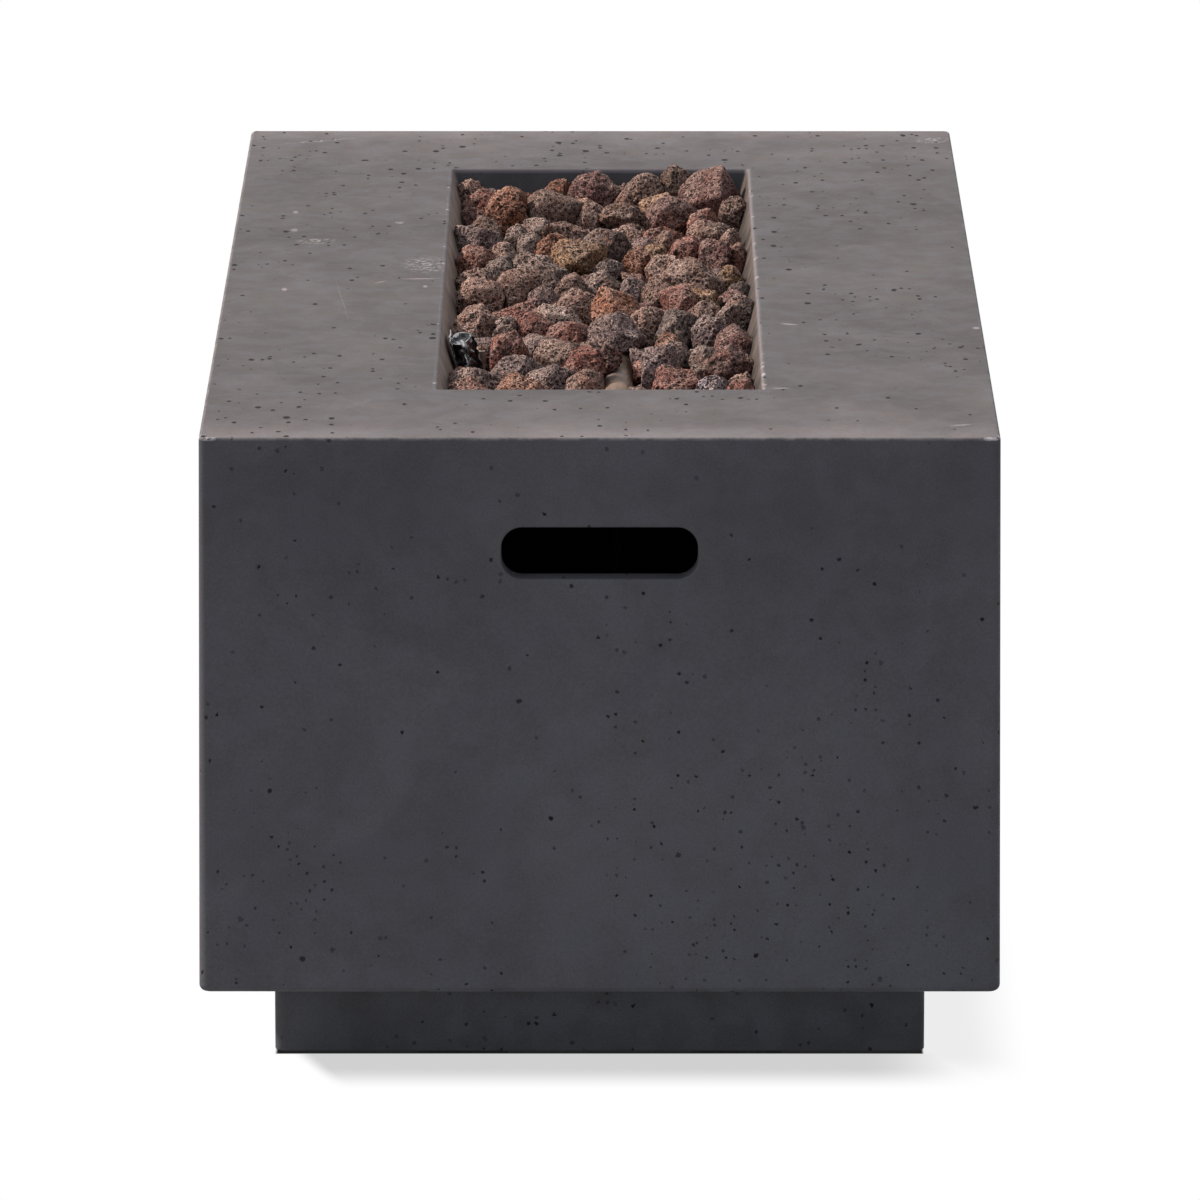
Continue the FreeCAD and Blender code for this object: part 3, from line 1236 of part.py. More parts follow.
def make_sensors():
    """Curled flame guard on a leaning strap, spark electrode and thermocouple."""
    rise = "(rim_z - guard_below_rim - pan_floor_z) / cos(guard_lean * 1 deg)"
    strap = box("guard_strap", ("0", f"-{GUARD_EDGE}", "0"), ("guard_sheet", "guard_width", rise))
    roll_z = f"{rise} - guard_height"
    roll_start = ("guard_radius", "0", roll_z)
    inner = "guard_radius - guard_sheet"
    roll = tube("guard_roll", "+Z", roll_start, "guard_radius", inner, "guard_height")
    plates = [strap, roll]
    run = "guard_fold * cos(guard_fold_turn * 1 deg) / 2"
    for index, way in enumerate((1, -1)):
        size = ("guard_fold / 2 + guard_sheet", "guard_sheet", f"guard_height - {4 + 3 * index}")
        low_x = f"2 * guard_radius - 1.5 * guard_sheet + {index} * {run}"
        low_y = f"{index} * guard_fold / 2 * sin(guard_fold_turn * 1 deg)"
        plate = box(f"guard_fold_{index}", (low_x, low_y, f"{roll_z} + {2 + index}"), size)
        plate.Placement = Placement(Vector(), Rotation(Vector(0, 0, way), mm("guard_fold_turn")))
        plate.setExpression("Placement.Rotation.Angle", expand("guard_fold_turn * 1 deg"))
        place(plate, low_x, low_y, f"{roll_z} + {2 + index}")
        plates.append(plate)
    slit_low = ("guard_radius", "-guard_radius - 1", f"{roll_z} - 1")
    slit = box("guard_slit", slit_low, ("guard_radius / 2", "guard_radius", "guard_height + 2"))
    size = ("2 * guard_radius - guard_sheet", "4 * guard_radius", "2 * guard_radius")
    scoop = box("guard_scoop_cut", ("guard_sheet", "0", "0"), size)
    scoop.Placement = Placement(Vector(), Rotation(Vector(1, 0, 0), mm("guard_scoop")))
    scoop.setExpression("Placement.Rotation.Angle", expand("guard_scoop * 1 deg"))
    reach = "3 * guard_radius"
    scoop_y = f"guard_radius - {reach} * cos(guard_scoop * 1 deg)"
    place(scoop, "guard_sheet", scoop_y, f"{rise} - {reach} * sin(guard_scoop * 1 deg)")
    sheet_metal = cut("guard_sheet_metal", fuse("guard_blank", plates), [slit, scoop])
    sheet_metal.Placement = Placement(Vector(), Rotation(Vector(0, -1, 0), mm("guard_lean")))
    sheet_metal.setExpression("Placement.Rotation.Angle", expand("guard_lean * 1 deg"))
    gap = "(pan_lip + guard_wall_gap)"
    place(sheet_metal, f"-pan_floor_x + {gap}", "guard_y", "pan_floor_z")
    foot_low = (f"-pan_floor_x + {gap}", f"guard_y - {GUARD_EDGE}", "pan_floor_z")
    foot = box("guard_foot_plate", foot_low, ("guard_foot", "guard_width", "guard_sheet"))
    holes = []
    radii = ["small_screw", "electrode_radius", "thermocouple_radius"]
    for index, (y, radius) in enumerate(zip(sensor_points(), radii), 1):
        start = (SENSOR_X, y, "pan_floor_z - 1")
        size = f"{radius} + screw_clearance"
        holes.append(cylinder(f"guard_hole_{index}", "+Z", start, size, "guard_sheet + 2"))
    trim_low = ("-pan_x", "guard_y - guard_width", "pan_floor_z - 10")
    holes.append(box("guard_trim", trim_low, ("2 * pan_x", "2 * guard_width", "10")))
    node(cut("guard_finished", fuse("guard_joined", [sheet_metal, foot]), holes), "flame_guard")

    screw_y, electrode_y, thermo_y = sensor_points()
    seat = (SENSOR_X, screw_y, "pan_floor_z + guard_sheet")
    length = "guard_sheet + pan_sheet + nut_height + 1"
    node(screw("guard_screw_part", "-Z", seat, "small_screw", length), "guard_screw")
    under = (SENSOR_X, screw_y, "pan_under_z")
    bore = "small_screw + insert_clearance"
    node(nut("guard_nut_part", "-Z", under, "small_screw * 2", bore, "nut_height"), "guard_nut")

    foot = (SENSOR_X, electrode_y, SENSOR_FOOT)
    reach = f"rim_z - sensor_below_rim - {SENSOR_FOOT}"
    ceramic = cylinder("ceramic_rod", "+Z", foot, "electrode_radius", reach)
    collar_start = (SENSOR_X, electrode_y, "pan_floor_z + guard_sheet")
    collar = cylinder("ceramic_collar", "+Z", collar_start, "electrode_radius + 1.2", "3")
    core = cylinder("ceramic_core", "+Z", foot, "electrode_wire + insert_clearance", "200")
    sleeve = cut("ceramic_sleeve", fuse("ceramic_blank", [ceramic, collar]), [core])
    node(sleeve, "electrode_ceramic")
    wire = cylinder("spark_wire", "+Z", foot, "electrode_wire", f"{reach} + electrode_tip")
    node(wire, "spark_electrode")

    foot = (SENSOR_X, thermo_y, SENSOR_FOOT)
    probe = cylinder("thermo_probe", "+Z", foot, "thermocouple_radius", reach)
    collar_start = (SENSOR_X, thermo_y, "pan_floor_z + guard_sheet")
    collar = cylinder("thermo_collar", "+Z", collar_start, "thermocouple_radius + 1.4", "4")
    tip = doc.addObject("Part::Sphere", "thermo_tip")
    tip.setExpression("Radius", expand("thermocouple_radius"))
    place(tip, SENSOR_X, thermo_y, "rim_z - sensor_below_rim")
    node(fuse("thermo_joined", [probe, collar, tip]), "thermocouple")


# Lava rocks: angular convex stones in two layers. Each is a rough ball of flat faces, cut
# back to its own share of the space by planes between it and its neighbours. The lower
# layer lies in rows, and each stone of the upper layer has its own place and size.
ROCK_SEED = 11
ROCK_FACES = 18
ROCK_CHIPS = 4
ROCK_REACH = 120
SMALLEST_ROCK = 1200

# The upper stones, from the far end to the near end. Each has its place across and along
# the opening, in hundredths of its half size, how far its top lies below the highest
# that a stone may reach, and its width, its length and its height.
UPPER_ROCKS = [
    (-71.9, 97.1, 21, 18, 30, 45), (14.7, 97.1, 16, 21, 30, 50), (-27.5, 97, 16, 29, 31, 50),
    (-87.5, 96.9, 15, 27, 33, 51), (52.1, 96.9, 2, 33, 34, 58), (31.5, 95.2, 8, 35, 40, 58),
    (-5.1, 94.5, 5, 47, 46, 58), (74.8, 91.6, 4, 57, 58, 58), (-48.5, 90.2, 21, 20, 32, 50),
    (16.6, 90.1, 20, 18, 30, 46), (-75.5, 88, 15, 31, 34, 51), (41.1, 87.8, 20, 37, 46, 46),
    (-13.4, 86.9, 30, 41, 43, 35), (15, 82.5, 33, 45, 46, 38), (66.3, 81.4, 31, 40, 38, 34),
    (-83.9, 81.1, 28, 35, 35, 30), (-31.7, 79.1, 12, 57, 58, 46), (-61.3, 77.3, 6, 37, 39, 52),
    (-5.4, 76.7, 18, 30, 36, 40), (88.8, 76, 11, 30, 37, 47), (15.5, 73.7, 16, 43, 46, 42),
    (46.9, 73.5, 11, 45, 49, 47), (-83.5, 71.4, 34, 36, 41, 30), (-49.1, 69.4, 32, 40, 36, 34),
    (-11.5, 67.3, 34, 42, 40, 35), (68.3, 66.6, 14, 27, 32, 44), (17, 64.3, 33, 38, 41, 32),
    (42.5, 63.6, 28, 36, 39, 31), (-76.5, 63.2, 18, 31, 35, 40), (-39, 62.8, 20, 30, 30, 38),
    (80.5, 61.7, 20, 24, 32, 48), (-19.3, 57.9, 18, 31, 32, 40), (24.8, 57.4, 20, 21, 30, 38),
    (-54.8, 53.7, 17, 23, 30, 41), (34.9, 53.6, 20, 18, 30, 38), (15.9, 53.3, 17, 25, 30, 41),
    (69.9, 53.1, 15, 44, 44, 43), (-6.7, 51.6, 29, 45, 50, 39), (-82.3, 51.3, 20, 48, 50, 38),
    (-45.9, 49.4, 19, 26, 30, 39), (84.9, 48.5, 17, 20, 30, 41), (43, 48.3, 16, 23, 30, 42),
    (-30.7, 46.7, 17, 29, 35, 41), (30.1, 44.2, 19, 29, 30, 39), (81.8, 42.2, 35, 42, 45, 36),
    (3.5, 42.1, 10, 45, 54, 48), (-83.1, 41.5, 31, 38, 38, 32), (-61.5, 40.5, 21, 21, 30, 37),
    (57, 39.1, 13, 31, 34, 45), (-42.7, 38, 28, 40, 43, 34), (35, 36.7, 19, 25, 30, 39),
    (87.7, 35.5, 17, 30, 32, 41), (72.5, 34.3, 11, 24, 30, 47), (15.8, 33.9, 30, 41, 41, 35),
    (-80.5, 32.7, 16, 42, 42, 42), (50.6, 32.1, 28, 35, 33, 30), (-16.1, 31.4, 11, 48, 49, 47),
    (24.1, 27.9, 13, 28, 34, 45), (-44.5, 27.9, 15, 38, 46, 43), (-64.3, 26.8, 19, 25, 30, 39),
    (7, 25.9, 21, 30, 32, 37), (83.2, 25.6, 32, 41, 44, 35), (42.3, 24.2, 15, 36, 40, 43),
    (-85.7, 23.7, 32, 43, 48, 37), (64.9, 21, 29, 44, 46, 37), (-13.3, 20.7, 32, 37, 39, 31),
    (-56.7, 20, 31, 35, 39, 29), (18.6, 17.5, 28, 43, 43, 37), (84.3, 17, 18, 26, 30, 40),
    (-80.5, 15.8, 20, 38, 37, 38), (-33.8, 14.4, 14, 36, 45, 44), (63.4, 13.1, 15, 47, 48, 43),
    (-60.9, 11.4, 35, 46, 48, 39), (33.3, 10.6, 28, 37, 35, 32), (2, 8.8, 16, 39, 44, 42),
    (-17.8, 7.7, 17, 25, 30, 41), (-85.4, 7.4, 30, 39, 40, 33), (20.2, 5.2, 18, 29, 34, 40),
    (66.1, 4.6, 35, 45, 50, 38), (37.6, 2.9, 16, 30, 35, 42), (-54.2, 2.9, 11, 49, 52, 47),
    (89.1, 2.7, 18, 24, 30, 40), (-8.2, 1.2, 29, 34, 36, 29), (85.3, -1, 20, 28, 30, 38),
    (-76.8, -1.7, 12, 36, 44, 46), (-36.4, -1.9, 17, 27, 30, 41), (67.8, -2.4, 19, 29, 32, 39),
    (21.7, -5.2, 30, 36, 41, 31), (52.1, -5.2, 15, 28, 33, 43), (-15.1, -6.6, 19, 46, 47, 39),
    (-55.6, -6.9, 30, 37, 40, 31), (79.8, -9.3, 37, 40, 45, 34), (38.6, -12.2, 30, 39, 44, 33),
    (-34.4, -13.6, 28, 41, 44, 35), (-68.6, -14.2, 34, 45, 44, 39), (67.7, -15.5, 19, 33, 38, 39),
    (11.5, -16.2, 11, 44, 47, 47), (87, -19.3, 11, 37, 37, 47), (45.2, -19.8, 35, 40, 40, 34),
    (-26.1, -20.3, 20, 38, 46, 38), (-53.1, -22.2, 32, 35, 38, 30), (2, -24.7, 33, 42, 45, 36),
    (29.5, -27.7, 12, 32, 38, 46), (80.8, -27.8, 36, 37, 35, 31), (-79.2, -28.3, 12, 43, 50, 46),
    (-41.8, -29.3, 13, 34, 36, 45), (50.1, -30.7, 12, 38, 45, 46), (-59.5, -31.1, 17, 26, 30, 41),
    (-19.1, -33.7, 17, 42, 42, 41), (68.9, -34.2, 14, 31, 35, 44), (9.7, -35.1, 13, 51, 54, 45),
    (-72.7, -37.7, 27, 41, 38, 35), (43.2, -39.9, 21, 23, 30, 37), (-39.3, -41.8, 20, 45, 50, 38),
    (85.2, -42.5, 17, 40, 49, 41), (-9.6, -43.3, 27, 45, 50, 38), (21.3, -45.5, 30, 44, 44, 37),
    (60, -45.7, 30, 41, 42, 35), (-61.4, -50.4, 12, 40, 43, 46), (48.3, -52, 15, 27, 30, 43),
    (-23.4, -53, 15, 54, 56, 43), (24.8, -53.5, 35, 45, 48, 38), (66.4, -53.7, 20, 33, 38, 38),
    (5.1, -53.8, 16, 22, 30, 42), (-82.5, -58, 36, 40, 44, 34), (16.4, -60.5, 16, 26, 30, 42),
    (-8.7, -60.8, 14, 40, 43, 44), (81.1, -61.4, 13, 44, 53, 45), (34.2, -62.6, 11, 35, 41, 47),
    (-52, -64.5, 16, 49, 58, 42), (-84.8, -65.1, 29, 40, 40, 34), (58, -66.5, 35, 40, 42, 34),
    (-11.8, -68.5, 31, 39, 42, 34), (-37.3, -70.6, 20, 27, 30, 38), (14.3, -72.6, 36, 38, 43, 33),
    (-76.4, -73.3, 17, 46, 51, 41), (88.5, -74.3, 19, 26, 30, 39), (-26, -74.5, 15, 27, 30, 43),
    (47.7, -75.9, 15, 45, 56, 43), (-8.8, -77.1, 17, 34, 42, 41), (69.4, -79.1, 18, 31, 31, 40),
    (24.8, -80.5, 20, 36, 39, 38), (-45.6, -80.5, 20, 51, 58, 38), (87.3, -80.9, 20, 29, 35, 38),
    (-82, -81.2, 21, 38, 40, 37), (6.9, -83.6, 22, 24, 30, 36), (-17.1, -86.4, 35, 42, 39, 36),
    (57.8, -86.5, 31, 37, 35, 32), (-70, -87.6, 37, 46, 49, 39), (81.4, -89.5, 31, 42, 45, 35),
    (28, -93.5, 25, 38, 44, 44), (-44.9, -92.7, 36, 38, 37, 33), (-9.5, -95.5, 32, 39, 36, 33),
    (-79.1, -95.7, 32, 39, 42, 33), (69.1, -95.7, 35, 35, 32, 30),
]


def clip(faces, normal, limit):
    """Keep the part of a convex stone where normal . point is at most the limit."""
    kept = []
    rim = []
    for face in faces:
        points = []
        for index, point in enumerate(face):
            following = face[(index + 1) % len(face)]
            here = normal.dot(point) - limit
            there = normal.dot(following) - limit
            if here <= 0:
                points.append(point)
            if here * there < 0:
                crossing = point + (following - point) * (here / (here - there))
                points.append(crossing)
                rim.append(crossing)
        if len(points) > 2:
            kept.append(points)
    if len(rim) > 2:
        corners = []
        for point in rim:
            if all((point - other).Length > 1e-6 for other in corners):
                corners.append(point)
        middle = sum(corners, Vector()) * (1 / len(corners))
        side = (corners[0] - middle).normalize()
        up = normal.cross(side)

        def turn(point):
            arm = point - middle
            return math.atan2(arm.dot(up), arm.dot(side))

        kept.append(sorted(corners, key=turn))
    return kept


def shortest_edge(faces):
    shortest = ROCK_REACH
    for face in faces:
        for index, point in enumerate(face):
            shortest = min(shortest, (face[(index + 1) % len(face)] - point).Length)
    return shortest


def cleanly_clipped(faces, normal, limit, must):
    """Clip without leaving tiny edges: the plane moves in a little where it has to."""
    for attempt in range(8):
        result = clip(faces, normal, limit - 0.35 * attempt)
        if shortest_edge(result) > 0.5:
            return result
        if not must:
            return faces
    return result


def start_block(seed):
    half = ROCK_REACH / 2
    faces = [[
        seed + Vector(-half, -half, -half), seed + Vector(-half, half, -half),
        seed + Vector(half, half, -half), seed + Vector(half, -half, -half),
    ], [
        seed + Vector(-half, -half, half), seed + Vector(half, -half, half),
        seed + Vector(half, half, half), seed + Vector(-half, half, half),
    ]]
    for index in range(4):
        following = (index + 1) % 4
        low, high = faces[1][index], faces[1][following]
        drop = Vector(0, 0, -2 * half)
        faces.append([low + drop, high + drop, high, low])
    return faces


def rock_shape(rng):
    """The three half sizes of a stone."""
    half = mm("rock_size") / 2
    return (half * rng.uniform(0.86, 1.22), half * rng.uniform(0.9, 1.15), half * rng.uniform(0.9, 1.1))


def upper_seeds():
    """Where the upper stones lie, their half sizes and their layer."""
    seeds = []
    for across, along, low, *sizes in UPPER_ROCKS:
        shape = tuple(size / 2 for size in sizes)
        x = across / 100 * mm("opening_width / 2")
        y = along / 100 * mm("opening_length / 2")
        top = mm("rim_z + rock_above_rim") - low
        spot = Vector(x, y, 0)
        for normal, limit in hollow_planes(spot, 0) + guard_plane(spot):
            if normal.z > 0:
                top = min(top, (limit - normal.y * y) / normal.z)
        seeds.append((Vector(x, y, top - shape[2]), shape, "upper"))
    return seeds


def lower_seeds(rng):
    """The rows of the lower layer, each stone a little out of line."""
    seeds = []
    depth = mm("rim_z - pan_floor_z - rock_under_seed")
    half_x = mm("opening_width / 2") - depth * mm("slope_run")
    half_y = mm("opening_length / 2") - depth * mm("slope_run")
    rows = round(2 * half_y / mm("rock_under_row_pitch"))
    columns = round(2 * half_x / mm("rock_under_pitch"))
    for row_index, along in enumerate(signs(rows)):
        shift = 0.24 if row_index % 2 else -0.24
        for across in signs(columns):
            x = (across + shift + rng.uniform(-0.2, 0.2)) * 2 * half_x / columns
            y = (along + rng.uniform(-0.22, 0.22)) * 2 * half_y / rows
            x = max(12 - half_x, min(half_x - 12, x))
            z = mm("rim_z") - depth + rng.uniform(-4, 4)
            seeds.append((Vector(x, y, z), rock_shape(rng), "lower"))
    return seeds


def bed_planes(gap):
    """The sloping walls and the floor of the bed, as normals and limits."""
    lean = math.radians(mm("opening_slope"))
    rim = mm("rim_z")
    planes = []
    sides = [(Vector(1, 0, 0), mm("opening_width / 2")), (Vector(0, 1, 0), mm("opening_length / 2"))]
    for way, half in sides:
        for sign in (-1, 1):
            normal = way * (sign * math.cos(lean)) + Vector(0, 0, -math.sin(lean))
            at_rim = way * (sign * half) + Vector(0, 0, rim)
            planes.append((normal, normal.dot(at_rim) - gap))
    corner_inset = mm("pan_corner") * (math.sqrt(2) - 1) + gap
    for side_x in (-1, 1):
        for side_y in (-1, 1):
            way = Vector(side_x, side_y, -2 * mm("slope_run")).normalize()
            corner = Vector(side_x * sides[0][1], side_y * sides[1][1], rim)
            planes.append((way, way.dot(corner) - corner_inset))
    planes.append((Vector(0, 0, -1), -mm("pan_floor_z") - gap))
    return planes


def obstacle_plane(seed, gap):
    """Planes that keep a stone off the burner and off the guard and sensors."""
    planes = []
    axis = Vector(mm("burner_x"), 0, mm("burner_z"))
    reach = mm("burner_radius") + gap
    if abs(seed.y) < mm("burner_length / 2") + 30:
        away = Vector(seed.x - axis.x, 0, seed.z - axis.z)
        if seed.z < axis.z:
            away = Vector(math.copysign(1, seed.x - axis.x), 0, 0)
        away.normalize()
        planes.append((away * -1, -(away.dot(axis) + reach)))
    guard_front = mm("-pan_floor_x + pan_lip + guard_wall_gap + guard_foot") + gap
    guard_half = mm("guard_width / 2") + 1 + gap
    guard_middle = mm(f"guard_y - {GUARD_EDGE} + guard_width / 2")
    offset = seed.y - guard_middle
    if seed.x < guard_front + 30 and abs(offset) < guard_half + 60:
        if seed.x - guard_front > abs(offset) - guard_half:
            planes.append((Vector(-1, 0, 0), -guard_front))
        else:
            side = math.copysign(1, offset)
            planes.append((Vector(0, -side, 0), -(side * guard_middle + guard_half)))
    return planes


def in_hollow(seed):
    """A seed in the small hollow where the burner shows, near the front of the bed."""
    across = abs(seed.x - mm("hollow_x")) < mm("hollow_width / 2")
    return across and abs(seed.y - mm("hollow_y")) < mm("hollow_length / 2")


def falling_plane(foot):
    """A plane that falls gently from the front of the bed to a point."""
    fall = math.radians(mm("bed_fall"))
    normal = Vector(0, math.sin(fall), math.cos(fall))
    return normal, normal.dot(foot)


def hollow_planes(seed, gap):
    """Stones beside or behind the hollow stop at it, and those in front of it stay low."""
    near_end = mm("hollow_y - hollow_length / 2")
    far_end = mm("hollow_y + hollow_length / 2")
    half = mm("hollow_width / 2")
    offset = seed.x - mm("hollow_x")
    if abs(offset) > half:
        if seed.y > far_end or abs(offset) > half + mm("rock_size"):
            return []
        side = math.copysign(1, offset)
        return [(Vector(-side, 0, 0), -(side * mm("hollow_x") + half + gap))]
    if seed.y > far_end:
        return [(Vector(0, -1, 0), -far_end - gap)]
    top_of_tube = mm("burner_z + burner_radius") + gap
    return [falling_plane(Vector(0, near_end, top_of_tube))]


def guard_plane(seed):
    """Stones in front of the guard stay below its upper half."""
    guard_x = -mm("pan_floor_x") - mm("guard_radius")
    near_side = mm(f"guard_y - {GUARD_EDGE}")
    if seed.y > near_side or abs(seed.x - guard_x) > mm("rock_size * 0.6"):
        return []
    return [falling_plane(Vector(0, near_side, mm("rim_z - guard_height * 0.75")))]


def make_rock(index, seeds, rng):
    seed, shape, layer = seeds[index]
    gap = mm("rock_gap")
    planes = bed_planes(gap) + obstacle_plane(seed, gap)
    if layer == "upper":
        planes += hollow_planes(seed, gap) + guard_plane(seed)
        planes.append((Vector(0, 0, 1), mm("rim_z + rock_above_rim")))
    for other, (centre, other_shape, _) in enumerate(seeds):
        between = centre - seed
        length = between.Length
        if other == index or length > ROCK_REACH:
            continue
        normal = between * (1 / length)
        size = sum(half ** 2 for half in shape) / 3
        other_size = sum(half ** 2 for half in other_shape) / 3
        share = length / 2 + (size - other_size) / (2 * length)
        planes.append((normal, normal.dot(seed) + share - gap / 2))
    faces = start_block(seed)
    for normal, limit in planes:
        faces = cleanly_clipped(faces, normal, limit, True)
    spin = rng.uniform(0, math.tau)
    for face_index in range(ROCK_FACES):
        height = 1 - (2 * face_index + 1) / ROCK_FACES
        across = math.sqrt(1 - height ** 2)
        turn = face_index * math.pi * (3 - math.sqrt(5)) + spin
        way = Vector(across * math.cos(turn), across * math.sin(turn), height)
        reach = math.sqrt(sum((half * part) ** 2 for half, part in zip(shape, way)))
        limit = way.dot(seed) + reach * rng.uniform(0.82, 1.04)
        faces = cleanly_clipped(faces, way, limit, False)
    for _ in range(ROCK_CHIPS):
        corners = [point for face in faces for point in face]
        if not corners:
            break
        middle = sum(corners, Vector()) * (1 / len(corners))
        way = Vector(rng.gauss(0, 1), rng.gauss(0, 1), rng.gauss(0, 1)).normalize()
        reach = max(way.dot(point - middle) for point in corners)
        limit = way.dot(middle) + reach * rng.uniform(0.74, 0.9)
        faces = cleanly_clipped(faces, way, limit, False)
    return faces


def solid_from(faces):
    shapes = [Part.Face(Part.makePolygon(face + [face[0]])) for face in faces]
    return Part.Solid(Part.Shell(shapes))


def make_rocks():
    rng = random.Random(ROCK_SEED)
    seeds = upper_seeds() + lower_seeds(rng)
    layers = {"upper": [], "lower": []}
    for index, (seed, _, layer) in enumerate(seeds):
        stone = make_rock(index, seeds, rng)
        if layer == "upper" and in_hollow(seed) or len(stone) < 4:
            continue
        solid = solid_from(stone)
        if solid.Volume > SMALLEST_ROCK and solid.isValid():
            layers[layer].append(solid)
    for layer, stones in layers.items():
        item = doc.addObject("Part::Feature", f"rocks_{layer}")
        item.Shape = Part.makeCompound(stones)
        item.Placement = Placement()
        print(f"{layer} rocks: {len(stones)}")
        node(item, f"lava_rocks_{layer}")


def check_and_write():
    """Stop if anything failed, then write each sub-part."""
    doc.recompute()
    for item in doc.Objects:
        if "Invalid" in item.State or "Error" in item.State:
            raise ValueError(f"{item.Name} failed: {item.State}")
    for item in NODES:
        if item.Shape.isNull() or not item.Shape.isValid() or not item.Shape.Solids:
            raise ValueError(f"{item.Label} has no valid solid")
    os.makedirs("parts", exist_ok=True)
    for item in NODES:
        item.Shape.exportStep(f"parts/{item.Label}.step")
    print(f"{len(NODES)} sub-parts written")


make_cast_body()
make_plinth()
make_feet()
make_base_frame()
make_body_fasteners()
make_burner_pan()
make_pan_fasteners()
make_burner()
make_mixer()
make_control_recess()
make_valve()
make_knob()
make_igniter()
make_sensors()
make_lines()
make_rocks()
check_and_write()
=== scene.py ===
# %% [markdown]
# # A concrete fire pit table
# The real object is a hollow box of fibre concrete on a recessed plinth. A bed of lava
# rock lies in a long opening in its top, over a gas tube burner. The CAD model already
# has every piece in its place, so this lesson keeps those pieces, gives each one its
# finish, and swaps the plain stones, springs and flame guard for ones with their real
# surface.

# %% Load the CAD model
import math
from functools import cached_property, partialmethod
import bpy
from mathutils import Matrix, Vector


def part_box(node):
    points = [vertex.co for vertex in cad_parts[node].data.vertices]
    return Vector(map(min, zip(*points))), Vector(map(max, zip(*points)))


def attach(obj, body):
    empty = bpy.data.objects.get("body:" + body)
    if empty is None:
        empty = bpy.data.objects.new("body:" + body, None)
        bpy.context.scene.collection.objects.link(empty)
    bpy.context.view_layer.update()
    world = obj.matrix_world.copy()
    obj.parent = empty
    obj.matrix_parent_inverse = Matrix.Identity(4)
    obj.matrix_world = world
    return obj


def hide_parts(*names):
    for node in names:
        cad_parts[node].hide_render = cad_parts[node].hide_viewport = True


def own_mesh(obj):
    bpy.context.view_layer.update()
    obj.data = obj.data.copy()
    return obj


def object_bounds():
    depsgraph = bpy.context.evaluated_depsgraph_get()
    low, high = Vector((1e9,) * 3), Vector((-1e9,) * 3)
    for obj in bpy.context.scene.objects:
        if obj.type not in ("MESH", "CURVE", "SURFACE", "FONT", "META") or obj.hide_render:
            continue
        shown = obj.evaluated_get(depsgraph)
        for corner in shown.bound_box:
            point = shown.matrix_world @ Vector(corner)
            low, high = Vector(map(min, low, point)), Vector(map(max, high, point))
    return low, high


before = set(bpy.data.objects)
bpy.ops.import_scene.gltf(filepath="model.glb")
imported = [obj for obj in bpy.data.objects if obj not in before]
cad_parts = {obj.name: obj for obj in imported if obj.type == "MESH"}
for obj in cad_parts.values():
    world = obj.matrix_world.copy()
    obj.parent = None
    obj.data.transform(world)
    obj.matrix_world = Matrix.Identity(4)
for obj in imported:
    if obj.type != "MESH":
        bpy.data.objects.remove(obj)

from types import SimpleNamespace

import bpy
import bmesh
import numpy as np
from mathutils import Matrix, Vector, noise

cad_low, cad_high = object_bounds()
print("CAD box, in metres:", [round(v, 4) for v in (*cad_low, *cad_high)])

# %% [markdown]
# ## The camera
# The photograph was taken from far away with a long lens, a little above the rim, so the
# sides of the opening run almost parallel. A long lens here gives the same calm lines.


# %% Place the camera
def add_object(name, data):
    """A new object in the scene, at the origin."""
    made = bpy.data.objects.new(name, data)
    bpy.context.scene.collection.objects.link(made)
    return made


VIEW_PLACE = Vector((0.0045, -8.68, 2.2396))
VIEW_PITCH = math.radians(13.06)
VIEW_TURN = math.radians(0.03)

camera_data = bpy.data.cameras.new("camera")
camera_data.sensor_fit = "HORIZONTAL"
camera_data.sensor_width = 36
camera_data.lens = 324.9
camera_data.clip_end = 100
camera = add_object("camera", camera_data)
camera.location = VIEW_PLACE
camera.rotation_euler = (math.pi / 2 - VIEW_PITCH, 0, VIEW_TURN)
bpy.context.scene.camera = camera
bpy.context.scene.view_settings.view_transform = "Standard"
print("Camera", round(VIEW_PLACE.length, 2), "m away, lens", camera_data.lens, "mm")

# %% [markdown]
# ## Short calls for shader nodes
# A material is a graph of nodes, and joining each one by hand takes many lines. This small
# class adds a node, sets it and joins it in one call. An input takes a number, a colour
# or the output of another node.


